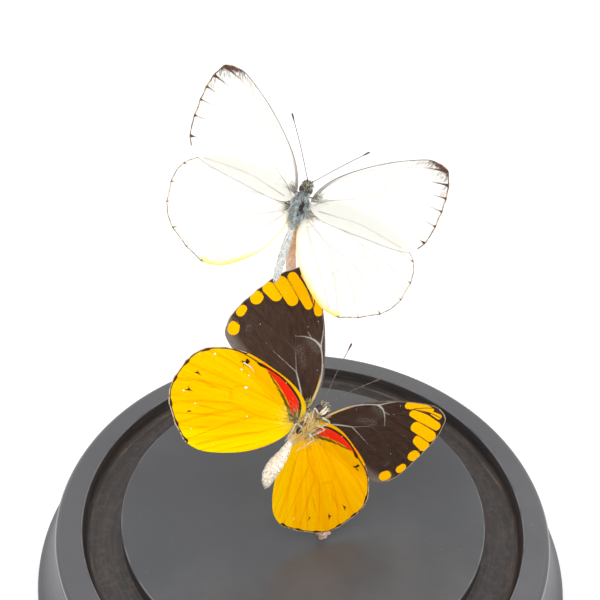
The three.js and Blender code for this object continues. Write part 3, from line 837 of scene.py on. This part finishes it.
forewing_hinge = dict(ahead=2.6, lift=0.32, pleats=16)
hindwing_hinge = dict(ahead=-1.4, lift=-0.13, pleats=19)
own_fields = {("upper", "right"): stained_hindwing_fields, ("lower", "right"): marred_hindwing_fields}
fore_ends = ["radius", "first median", "second median", "third median", "first cubital", "second cubital"]
hind_ends = ["radius", "first median", "second median", "third median", "first cubital", "second cubital"]
fore_rings = flat_wing(FOREWING, FOREWING_VEINS, fore_ends)
hind_rings = flat_wing(HINDWING, HINDWING_VEINS, hind_ends)
fore_marks = closed_curve(FOREWING, WING_ROUND)[1]
hind_marks = closed_curve(HINDWING, WING_ROUND)[1]
fore_stretches = {"costa": (0, fore_marks[4]), "outer": (fore_marks[4], fore_marks[8]),
                  "inner": (fore_marks[8], 1)}
hind_stretches = {"costa": (0, hind_marks[4]), "outer": (hind_marks[4], (hind_marks[8] + hind_marks[9]) / 2),
                  "inner": ((hind_marks[8] + hind_marks[9]) / 2, 1)}
for who, butterfly in BUTTERFLIES.items():
    for hand, side in HANDS.items():
        mesh = wing_mesh("forewing", butterfly, side, "fore", fore_rings, forewing_hinge, forewing_fields,
                         fore_stretches)
        fitted(f"{who}_{hand}_front_wing", mesh, forewing_finish, f"{who}_forewing_scales",
               f"{who}_{hand}_forewing")
        fields = own_fields.get((who, hand), hindwing_fields)
        mesh = wing_mesh("hindwing", butterfly, side, "hind", hind_rings, hindwing_hinge, fields,
                         hind_stretches)
        fitted(f"{who}_{hand}_back_wing", mesh, hindwing_finishes[who, hand], f"{who}_hindwing_scales",
               f"{who}_{hand}_hindwing")

# ---- Bodies ---------------------------------------------------------------------------------------------
# Head, thorax and ringed abdomen are one dry shell of chitin. The abdomen narrows to a small brown tip. Hair
# and hair-like scales cover most of the shell, and the next section adds them.

HEAD_AND_THORAX = [[0, 0], [0.4, 0.9], [1.5, 1.35], [2.7, 1.15], [3.3, 0.95], [4.4, 1.7], [6.6, 2.1],
                   [9.4, 2.05], [11.6, 1.35]]
BODY_DEPTH = 1.1
BODIES = {
    "upper": dict(line=[[0, 7.6, 0], [0, 1, 0], [0.2, -7, 0.2], [0.6, -15, 0.3], [1.5, -24.8, -0.3]],
                  abdomen=[[14.6, 0.75], [17.5, 1.0], [22, 1.1], [28, 1.05], [31.4, 0.7], [32.6, 0]]),
    "lower": dict(line=[[0, 7.6, 0], [0, 1, 0], [-0.2, -6, -0.6], [-0.6, -12, -3.2], [-1.2, -17.5, -4.6],
                        [-3.4, -21.4, -4.9]],
                  abdomen=[[14, 0.95], [15.5, 0.85], [18, 1.25], [21, 1.75], [24, 2.1], [27, 1.95],
                           [29.6, 1.2], [31.4, 0]]),
}


def body_rings(body, count=240, sides=72):
    """Rings along the body's line, a little deeper than wide. Beyond the waist the radius dips at the seven
    joints between the abdomen's rings. Also gives how far behind the head's front each ring is."""
    profile = smooth_path(HEAD_AND_THORAX + body["abdomen"], 600)
    length = profile[-1, 0]
    behind = length * (0.5 - 0.5 * np.cos(np.linspace(0.03, np.pi - 0.03, count)))
    radius = np.interp(behind, profile[:, 0], profile[:, 1])
    along = (behind - 13.5) / (length - 14.5) * 8
    dip = np.exp(-(((along - np.round(along)) / 0.12) ** 2)) * (along > 0.5) * (along < 7.6)
    line = smooth_path(body["line"], 400)
    line = np.stack([np.interp(behind / length, np.linspace(0, 1, 400), column) for column in line.T], -1)
    turn = np.linspace(0, 2 * np.pi, sides, endpoint=False)[None]
    lumps = 1 + 0.02 * np.sin(3 * turn + behind[:, None]) + 0.015 * np.sin(7 * turn - 2 * behind[:, None])
    return rod(line, (radius * (1 - 0.09 * dip))[:, None] * lumps, [0, 0, 1], BODY_DEPTH), behind


def upward(count, sides):
    """How far each point of the rings faces the back, from 1 to -1 on the belly."""
    turn = np.linspace(0, 2 * np.pi, sides, endpoint=False)
    return np.broadcast_to(-np.sin(turn), (count, sides))


def body_colours(finish, behind, up, tone):
    """Blue-grey above and straw yellow below on the thorax, near-black and cream on the head, white on the
    abdomen with grey specks above and tan ones below."""
    above = finish.between(up, -0.25, 0.15)
    thorax = finish.mix(tone, display(58, 68, 72), display(214, 224, 226))
    straw = finish.mix(tone, display(255, 192, 40), display(255, 244, 176))
    thorax = finish.mix(above, straw, thorax)
    head = finish.mix(finish.between(tone, 0.5, 0.62), display(34, 31, 24), display(236, 232, 200))
    color = finish.mix(finish.between(behind, 2.6, 3.6), head, thorax)
    speck = finish.between(tone, 0.07, 0.2)
    abdomen = finish.mix(speck, display(84, 82, 82), display(226, 226, 222))
    pale = finish.mix(speck, display(186, 146, 106), display(248, 240, 224))
    abdomen = finish.mix(above, pale, abdomen)
    return finish.mix(finish.between(behind, 12.6, 15.2), color, abdomen)


def body_shell():
    finish = Finish("body_shell", Specular_IOR_Level=0.4)
    place, behind, up = finish.place(), finish.own("behind"), finish.own("up")
    grain = finish.noise(place, 1500, 3, 0.6)
    color = body_colours(finish, behind, up, finish.between(grain, 0.3, 0.7))
    color = finish.mix(finish.between(behind, 12.5, 11.0) * 0.75, color, display(40, 36, 32))
    color = finish.mix(finish.between(finish.own("bare"), 0.4, 0.6), color, display(34, 30, 30))
    tip = finish.between(finish.own("left"), 0.9, 0.4)
    color = finish.mix(tip, color, display(106, 62, 34))
    scales = finish.noise(place, 5200, 2)
    return finish.done(color, 0.6 + scales * 0.25, grain + scales * 0.6, depth=0.0001)


def bare_share(points, spots):
    """1 inside any of the round patches where the hair has rubbed away, and 0 well outside them."""
    share = np.zeros(len(points))
    for middle, radius in spots:
        away = np.linalg.norm(points - middle, axis=1) / radius
        share = np.maximum(share, np.clip(1.5 - away, 0, 1))
    return share


BARE = {
    "upper": [([0.3, -0.2, 2.3], 0.85), ([0.3, -1.2, 2.3], 0.9), ([0.3, -2.0, 2.3], 0.7),
              ([0.0, -4.6, 2.0], 0.6)],
    "lower": [([1.6, -1.1, -1.5], 1.0), ([1.2, -3.6, -1.9], 1.2), ([-0.4, -2.4, -2.2], 0.5)],
}
shell = body_shell()
for who, body in BODIES.items():
    rings, behind = body_rings(body)
    count, sides = rings.shape[:2]
    mesh = rings_mesh("body", in_place(BUTTERFLIES[who], rings.reshape(-1, 3)).reshape(rings.shape))
    behind_all = np.append(np.repeat(behind, sides), [behind[0], behind[-1]])
    carried(mesh, "behind", behind_all)
    carried(mesh, "left", behind[-1] - behind_all)
    carried(mesh, "up", np.append(upward(count, sides), [0, 0]))
    carried(mesh, "bare", np.append(bare_share(rings.reshape(-1, 3), BARE[who]), [0, 0]))
    fitted(f"{who}_shell", mesh, shell, f"{who}_body_hair", f"{who}_body")

# ---- Hair -----------------------------------------------------------------------------------------------
# Long soft hair lies back over head and thorax and spreads onto the wing roots. The abdomen has short flat
# hair-scales that lift a little. Each hair is a thin three-sided spike of its own.

HAIR_STEPS = 4
BODY_HAIRS = 6000
ROOT_HAIRS = {"fore": 150, "hind": 260}  # on one face of one wing


def spikes(roots, lean, rise, length, thickness):
    """Tapered three-sided hairs. Each follows root + t * length * (lean + (rise - lean) * (1 - t) / 2), so it
    leaves along rise and bends over towards lean, and its radius falls as 1 - t."""
    t = np.linspace(0, 1, HAIR_STEPS)[:, None, None]
    path = roots + t * length[:, None] * (lean + (rise - lean) * (1 - t) * 0.5)
    ahead = lean / np.linalg.norm(lean, axis=1, keepdims=True)
    side = np.cross(ahead, [0.31, 0.17, 0.93])
    side /= np.linalg.norm(side, axis=1, keepdims=True)
    top = np.cross(side, ahead)
    turn = np.array([0, 2, 4]) * np.pi / 3
    radius = thickness[:, None] * (1 - 0.97 * t**1.5)
    across = np.cos(turn)[:, None] * side[:, None] - np.sin(turn)[:, None] * top[:, None]
    return path.transpose(1, 0, 2)[:, :, None] + radius.transpose(1, 0, 2)[..., None] * across[:, None]


def hair_mesh(name, hairs, numbers):
    """Joins the hairs, hairs[hair, step, corner], into one mesh. numbers gives one value a hair."""
    count, steps, corners = hairs.shape[:3]
    index = np.arange(count * steps * corners).reshape(count, steps, corners)
    beside = np.roll(index, -1, axis=2)
    quads = np.stack([index[:, :-1], beside[:, :-1], beside[:, 1:], index[:, 1:]], axis=-1).reshape(-1, 4)
    tips = index[:, -1]
    feet = index[:, 0, ::-1]
    mesh = bpy.data.meshes.new(name)
    faces = quads.tolist() + tips.tolist() + feet.tolist()
    mesh.from_pydata(hairs.reshape(-1, 3) * MM, [], faces, shade_flat=False)
    for key, values in numbers.items():
        carried(mesh, key, np.repeat(values, steps * corners))
    carried(mesh, "along", np.tile(np.repeat(np.linspace(0, 1, steps), corners), count))
    return mesh


def body_hairs(rings, behind, spots, rng, share):
    """Hairs rooted over the body's rings, twice as close on the head, with none on the bare patches. They lie
    towards the tail, those of the head forwards and outwards, and are shortest on the abdomen."""
    count, sides = rings.shape[:2]
    area = np.linalg.norm(np.diff(rings, axis=0).mean(axis=1), axis=1)
    area = area * np.linalg.norm(rings[:-1] - rings[:-1].mean(axis=1, keepdims=True), axis=2).mean(axis=1)
    thick = np.interp(behind[:-1], [0, 2.6, 3.2, 12, 12.5], [2.2, 2.2, 1.0, 1.0, 0.8]) * area
    ring = rng.choice(count - 1, int(BODY_HAIRS * share), p=thick / thick.sum())
    turn = rng.integers(0, sides, len(ring))
    root = rings[ring, turn] + rng.random((len(ring), 1)) * (rings[ring + 1, turn] - rings[ring, turn])
    keep = (bare_share(root, spots) < 0.5) & (bare_share(root - [0, 1.3, 0], spots) < 0.4)
    ring, turn, root = ring[keep], turn[keep], root[keep]
    outward = root - rings[ring].mean(axis=1)
    outward /= np.linalg.norm(outward, axis=1, keepdims=True)
    middles = rings.mean(axis=1)
    tailward = middles[np.minimum(ring + 3, count - 1)] - middles[np.maximum(ring - 3, 0)]
    tailward /= np.linalg.norm(tailward, axis=1, keepdims=True)
    here = behind[ring][:, None]
    head = here < 2.6
    abdomen = np.clip((here - 11) / 3, 0, 1)
    lay = np.where(head, -0.5, 1.0) * tailward
    loose = rng.normal(0, 1, root.shape)
    lean = lay + (0.16 - 0.06 * abdomen) * outward + (0.2 - 0.08 * abdomen) * loose
    rise = lay * 0.8 + (0.5 + 0.5 * head - 0.2 * abdomen) * outward + 0.2 * loose
    length = np.interp(behind[ring], [0, 2.5, 4, 9, 12.5, 15, 34], [1.4, 1.4, 2.0, 2.6, 2.6, 0.8, 0.5])
    length = length * rng.uniform(0.6, 1.25, len(ring))
    thickness = np.interp(behind[ring], [0, 2.6, 4, 10, 14], [0.1, 0.1, 0.065, 0.075, 0.06])
    thickness = thickness * rng.uniform(0.5, 1.2, len(ring))
    up = outward[:, 2]
    return spikes(root, lean, rise, length, thickness), behind[ring], up


def wing_root_hairs(butterfly, rng, share):
    """Hairs on both faces of every wing root that lie along the wing and thin out over its first few
    millimetres, soonest on the under face of the forewing."""
    parts = []
    for kind, hinge in (("fore", forewing_hinge), ("hind", hindwing_hinge)):
        for side in (-1, 1):
            for face in (-1.0, 1.0):
                count = int(ROOT_HAIRS[kind] * share)
                reach = rng.exponential(1.5, count).clip(0, 2.0 if kind == "fore" and face < 0 else 6) + 0.3
                low, high = (-0.55, 0.9) if kind == "fore" else (-0.75, 1.25)
                fan = rng.uniform(low, high, count)
                flat = np.stack([reach * np.cos(fan), reach * np.sin(fan)], axis=-1)
                step = np.stack([np.cos(fan), np.sin(fan)], axis=-1)
                sweep = np.radians(butterfly["sweep"][kind, side])
                far = np.full(count, 9.0)
                here = wing_surface(flat, far, sweep, hinge, butterfly, side, face)
                there = wing_surface(flat + step, far, sweep, hinge, butterfly, side, face)
                through = here - wing_surface(flat, far, sweep, hinge, butterfly, side, -face)
                through /= np.linalg.norm(through, axis=1, keepdims=True)
                lean = there - here + 0.10 * through + rng.normal(0, 0.12, here.shape)
                rise = there - here + 0.35 * through
                length = rng.uniform(0.8, 2.2, count) * np.exp(-reach / 12)
                thickness = 0.035 + 0.04 * np.exp(-reach)
                parts.append((spikes(here, lean, rise, length, thickness), np.full(count, face)))
    return [np.concatenate(group) for group in zip(*parts)]


def hair_coat(name, roots):
    finish = Finish(name, Specular_IOR_Level=0.3)
    tone, up, along = finish.own("tone"), finish.own("up"), finish.own("along")
    if roots:
        above = finish.mix(finish.between(tone, 0.45, 0.75), display(58, 56, 42), display(244, 244, 226))
        below = finish.mix(finish.between(tone, 0.4, 0.8), display(44, 38, 16), display(250, 226, 120))
        color = finish.mix(finish.between(up, -0.2, 0.2), below, above)
    else:
        place, behind = finish.place(), finish.own("behind")
        color = body_colours(finish, behind, up, tone)
        patches = finish.between(finish.noise(place, 620, 2), 0.44, 0.38) * finish.between(behind, 13.5, 11.5)
        color = finish.mix(patches * 0.85, color, display(44, 42, 38))
        tuft = finish.between(finish.noise(place, 700, 1), 0.52, 0.62) * finish.between(behind, 3.0, 4.0)
        color = finish.mix(tuft * finish.between(up, -0.1, 0.3) * 0.8, color, display(222, 232, 234))
    color = finish.mix(along * 0.15, color, display(255, 252, 240))
    return finish.done(color, 0.55 + along * 0.1)


coat = hair_coat("body_hair", roots=False)
root_coat = hair_coat("wing_root_hair", roots=True)
for order, (who, body) in enumerate(BODIES.items()):
    rng = np.random.default_rng(11 + order)
    share = 1.0
    hairs, behind, up = body_hairs(*body_rings(body), BARE[who], rng, share)
    place = in_place(BUTTERFLIES[who], hairs.reshape(-1, 3)).reshape(hairs.shape)
    numbers = {"tone": rng.random(len(hairs)), "behind": behind, "up": up}
    fitted(f"{who}_coat", hair_mesh("coat", place, numbers), coat, f"{who}_body_hair")
    hairs, face = wing_root_hairs(BUTTERFLIES[who], rng, share)
    place = in_place(BUTTERFLIES[who], hairs.reshape(-1, 3)).reshape(hairs.shape)
    numbers = {"tone": rng.random(len(hairs)), "behind": np.full(len(hairs), 8.0), "up": face}
    mesh = hair_mesh("wing_root_coat", place, numbers)
    fitted(f"{who}_wing_root_coat", mesh, root_coat, f"{who}_body_hair")

# ---- Eyes and mouth -------------------------------------------------------------------------------------
# Big compound eyes, black-brown and finely faceted. Between them two palps under pale scales point forwards,
# and the tongue lies coiled below.

EYE_MIDDLE = [1.0, 5.3, -0.45]
EYE_SIZE = [1.15, 1.35, 1.5]
PALP = [[0.3, 4.4, -1.7], [0.4, 5.6, -2.0], [0.36, 6.8, -1.8], [0.32, 7.5, -1.4]]


def ellipsoid(middle, size, steps=40, sides=56):
    """Rings of an ellipsoid about the butterfly's up: size times the cosine and sine of latitude."""
    latitude = np.linspace(-np.pi / 2 + 0.03, np.pi / 2 - 0.03, steps)[:, None]
    turn = np.linspace(0, 2 * np.pi, sides, endpoint=False)[None]
    x, y = np.cos(latitude) * np.cos(turn), np.cos(latitude) * np.sin(turn)
    z = np.broadcast_to(np.sin(latitude), x.shape)
    return np.array(middle) + np.array(size) * np.stack([x, y, z], axis=-1)


def compound_eye():
    finish = Finish("compound_eye", IOR=1.5)
    place = finish.place()
    facets = finish.node("ShaderNodeTexVoronoi", {}, {"Vector": place, "Scale": 9000.0}, output="Distance")
    cloud = finish.noise(place, 900, 2)
    color = finish.mix(cloud, display(30, 20, 22), display(70, 40, 40))
    color = finish.mix(finish.between(facets, 0.25, 0.6) * 0.3, color, display(110, 84, 100))
    return finish.done(color, 0.22 + cloud * 0.1, facets, depth=0.00002)


def coiled_tongue(turns=2.2, count=160, sides=14):
    """A flat spiral in the butterfly's upright middle plane: its radius shrinks evenly with the angle."""
    angle = np.linspace(0, 2 * np.pi * turns, count)
    radius = 0.72 - 0.085 * angle / np.pi
    path = np.stack([0 * angle, 6.4 + radius * np.sin(angle), -1.55 - radius * np.cos(angle)], axis=-1)
    return rod(path, np.full((count, sides), 0.13) * np.linspace(1, 0.6, count)[:, None], [1, 0, 0])


def tongue_chitin():
    finish = Finish("tongue_chitin")
    place = finish.place()
    rings = finish.noise(place, 3000, 2)
    color = finish.mix(rings, display(96, 62, 40), display(158, 112, 76))
    return finish.done(color, 0.4 + rings * 0.2, rings, depth=0.00004)


def palp_scales():
    finish = Finish("palp_scales")
    place = finish.place()
    grain = finish.noise(place, 3500, 3, 0.6)
    color = finish.mix(finish.between(grain, 0.3, 0.7), display(200, 182, 144), display(255, 246, 222))
    return finish.done(color, 0.7 + grain * 0.2, grain, depth=0.00012)


eye, tongue, palp = compound_eye(), tongue_chitin(), palp_scales()
for who, butterfly in BUTTERFLIES.items():
    rings = coiled_tongue()
    mesh = rings_mesh("tongue", in_place(butterfly, rings.reshape(-1, 3)).reshape(rings.shape))
    fitted(f"{who}_tongue", mesh, tongue, f"{who}_body_hair")
    for hand, side in HANDS.items():
        mirror = np.array([side, 1, 1])
        rings = ellipsoid(EYE_MIDDLE, EYE_SIZE) * mirror
        mesh = rings_mesh("eye", in_place(butterfly, rings[:, ::side].reshape(-1, 3)).reshape(rings.shape))
        fitted(f"{who}_{hand}_eye", mesh, eye, f"{who}_body_hair")
        path = smooth_path(PALP, 60) * mirror
        swell = np.interp(np.linspace(0, 1, 60), [0, 0.3, 0.75, 1], [0.2, 0.4, 0.34, 0.08])
        rings = rod(path, swell[:, None] * np.ones(20), [0, 0, 1])
        mesh = rings_mesh("palp", in_place(butterfly, rings.reshape(-1, 3)).reshape(rings.shape))
        fitted(f"{who}_{hand}_palp", mesh, palp, f"{who}_body_hair")

# ---- Antennae -------------------------------------------------------------------------------------------
# Thin ringed stalks with a dark club at the end. They are dry chitin, brown-grey and dusted with pale scales.

ANTENNA_ROOT = [0.6, 7.4, 1.3]
ANTENNA_BOW = 0.8
ANTENNA_TIPS = {
    ("upper", "left"): [-12.7, 24.0, 3.6], ("upper", "right"): [13.3, 23.1, 3.6],
    ("lower", "left"): [-9.1, 23.5, 6.0], ("lower", "right"): [5.8, 25.0, 6.0],
}


def antenna_rings(root, tip, count=300, sides=16):
    """A bowed stalk whose radius grows to the club over its last seventh, with 45 low rings along it."""
    root, tip = np.array(root, float), np.array(tip, float)
    path = smooth_path([root, (root + tip) / 2 + [0, 0, ANTENNA_BOW], tip], count)
    along = np.linspace(0, 1, count)
    radius = np.interp(along, [0, 0.02, 0.06, 0.86, 0.93, 0.98, 1], [0.2, 0.2, 0.11, 0.11, 0.27, 0.28, 0.1])
    radius = radius * (1 + 0.05 * np.cos(2 * np.pi * 45 * along))
    return rod(path, radius[:, None] * np.ones(sides), [0, 0, 1]), along


def antenna_chitin():
    finish = Finish("antenna_chitin", Specular_IOR_Level=0.4)
    place, along = finish.place(), finish.own("along")
    grain = finish.noise(place, 2500, 2)
    color = finish.mix(finish.between(grain, 0.35, 0.65), display(70, 60, 54), display(124, 110, 102))
    club = finish.mix(grain, display(74, 52, 40), display(112, 84, 66))
    color = finish.mix(finish.between(along, 0.82, 0.88), color, club)
    return finish.done(color, 0.5 + grain * 0.2, grain, depth=0.00004)


stalk = antenna_chitin()
for (who, hand), tip in ANTENNA_TIPS.items():
    rings, along = antenna_rings(np.array(ANTENNA_ROOT) * [HANDS[hand], 1, 1], tip)
    mesh = rings_mesh("antenna", in_place(BUTTERFLIES[who], rings.reshape(-1, 3)).reshape(rings.shape))
    carried(mesh, "along", np.append(np.repeat(along, rings.shape[1]), [0, 1]))
    fitted(f"{who}_{hand}_feeler", mesh, stalk, "antenna_chitin", f"{who}_{hand}_antenna")

# ---- Legs -----------------------------------------------------------------------------------------------
# Three pairs folded against the breast. They are thin dry chitin under a few pale scales, with short spines
# on the shins.

LEGS = {
    "foreleg": [[0.8, 4.2, -2.45], [3.4, 4.8, -3.0], [1.6, 1.6, -3.9], [0.9, -1.0, -4.0]],
    "midleg": [[1.5, 1.6, -2.6], [3.9, 2.4, -3.0], [2.3, -0.8, -3.9], [1.7, -3.4, -3.9]],
    "hindleg": [[1.5, -1.8, -2.4], [3.8, -2.0, -3.0], [3.0, -5.0, -3.4], [2.4, -8.0, -3.3]],
}
FEET_SPREAD = {"upper": 1.6, "lower": 0.0}


def leg_path(joints):
    """The leg's line, turning at each joint within a fifth of a millimetre on either side."""
    joints = np.array(joints, float)
    step = np.diff(joints, axis=0)
    step /= np.linalg.norm(step, axis=1, keepdims=True)
    points = [joints[:1]]
    for joint, into, out in zip(joints[1:-1], step[:-1], step[1:]):
        points.append(np.array([joint - 0.2 * into, joint + 0.2 * out]))
    return smooth_path(np.concatenate([*points, joints[-1:]]), 200)


def leg_rings(joints, sides=16):
    """A thick thigh, a shin that widens towards its far end, and a thin foot of five swelling joints."""
    path = leg_path(joints)
    along = np.linspace(0, 1, len(path))
    radius = np.interp(along, [0, 0.12, 0.3, 0.34, 0.4, 0.6, 0.66, 1],
                       [0.26, 0.28, 0.2, 0.17, 0.14, 0.16, 0.1, 0.08])
    radius = radius * (1 + 0.14 * np.cos(2 * np.pi * 14 * along) * (along > 0.66))
    return rod(path, radius[:, None] * np.ones(sides), [1, 0, 0.2]), path, along


def leg_chitin():
    finish = Finish("leg_chitin")
    place = finish.place()
    grain = finish.noise(place, 2200, 3, 0.6)
    color = finish.mix(finish.between(grain, 0.35, 0.7), display(150, 142, 126), display(236, 228, 206))
    return finish.done(color, 0.5 + grain * 0.25, grain, depth=0.00005)


limb = leg_chitin()
for who, butterfly in BUTTERFLIES.items():
    rng = np.random.default_rng(31)
    for hand, side in HANDS.items():
        for leg, joints in LEGS.items():
            joints = np.array(joints) + np.array([[0, 0, 0]] + [[FEET_SPREAD[who], 0, 0]] * 3)
            rings, path, along = leg_rings(joints * [side, 1, 1])
            mesh = rings_mesh("leg", in_place(butterfly, rings.reshape(-1, 3)).reshape(rings.shape))
            fitted(f"{who}_{hand}_{leg}_limb", mesh, limb, "leg_chitin", f"{who}_{hand}_{leg}")
            roots = path[rng.integers(70, 130, 16)]
            lean = np.gradient(path, axis=0)[100] * 8 + rng.normal(0, 0.4, (16, 3))
            hairs = spikes(roots, lean, lean * 1.2, np.full(16, 0.7), np.full(16, 0.03))
            place = in_place(butterfly, hairs.reshape(-1, 3)).reshape(hairs.shape)
            fitted(f"{who}_{hand}_{leg}_spines", hair_mesh("spines", place, {}), limb, "leg_chitin")

# ---- Floor, lights and camera ---------------------------------------------------------------------------
# A plain white floor under soft white light from all round, with one broad lamp above on the left
# and a weaker one low on the right.

floor_mesh = bpy.data.meshes.new("floor")
floor_mesh.from_pydata([(-3, -2, 0), (3, -2, 0), (3, 4, 0), (-3, 4, 0)], [], [(0, 1, 2, 3)])
floor_finish = Finish("white_paper", Specular_IOR_Level=0.0, Emission_Color=(1, 1, 1, 1),
                      Emission_Strength=0.15)
fibres = floor_finish.noise(floor_finish.place(), 300, 3)
floor_color = floor_finish.mix(fibres, display(250, 250, 250), display(254, 254, 254))
floor_mesh.materials.append(floor_finish.done(floor_color, 0.9 + fibres * 0.05))
floor = bpy.data.objects.new("floor", floor_mesh)
bpy.context.scene.collection.objects.link(floor)

world = bpy.data.worlds.new("studio")
world.use_nodes = True
world.node_tree.nodes["Background"].inputs["Color"].default_value = (1.0, 1.0, 1.0, 1.0)
world.node_tree.nodes["Background"].inputs["Strength"].default_value = 0.9
bpy.context.scene.world = world


def lamp(name, place, target, width, power):
    light = bpy.data.lights.new(name, "AREA")
    light.size = width
    light.energy = power
    holder = bpy.data.objects.new(name, light)
    bpy.context.scene.collection.objects.link(holder)
    holder.location = place
    holder.rotation_euler = (Vector(target) - Vector(place)).to_track_quat("-Z", "Y").to_euler()


lamp("broad_lamp", (-0.5, -0.5, 1.1), (0, 0, 0.06), 1.0, 5.0)
lamp("side_lamp", (0.8, -0.45, 0.5), (0, 0, 0.08), 0.8, 3.2)

camera = bpy.data.objects.new("camera", bpy.data.cameras.new("camera"))
bpy.context.scene.collection.objects.link(camera)
camera.data.lens = 55.62
camera.data.sensor_width = 36.0
camera.data.clip_start = 0.01
right, up, ahead = (0.99879, 0.03874, 0.03040), (-0.04715, 0.57389, 0.81758), (-0.01423, 0.81802, -0.57502)
pose = Matrix([right, up, [-a for a in ahead]]).transposed().to_4x4()
pose.translation = (0.0, -0.20745, 0.25207)
camera.matrix_world = pose
bpy.context.scene.camera = camera
bpy.context.scene.view_settings.view_transform = "Standard"
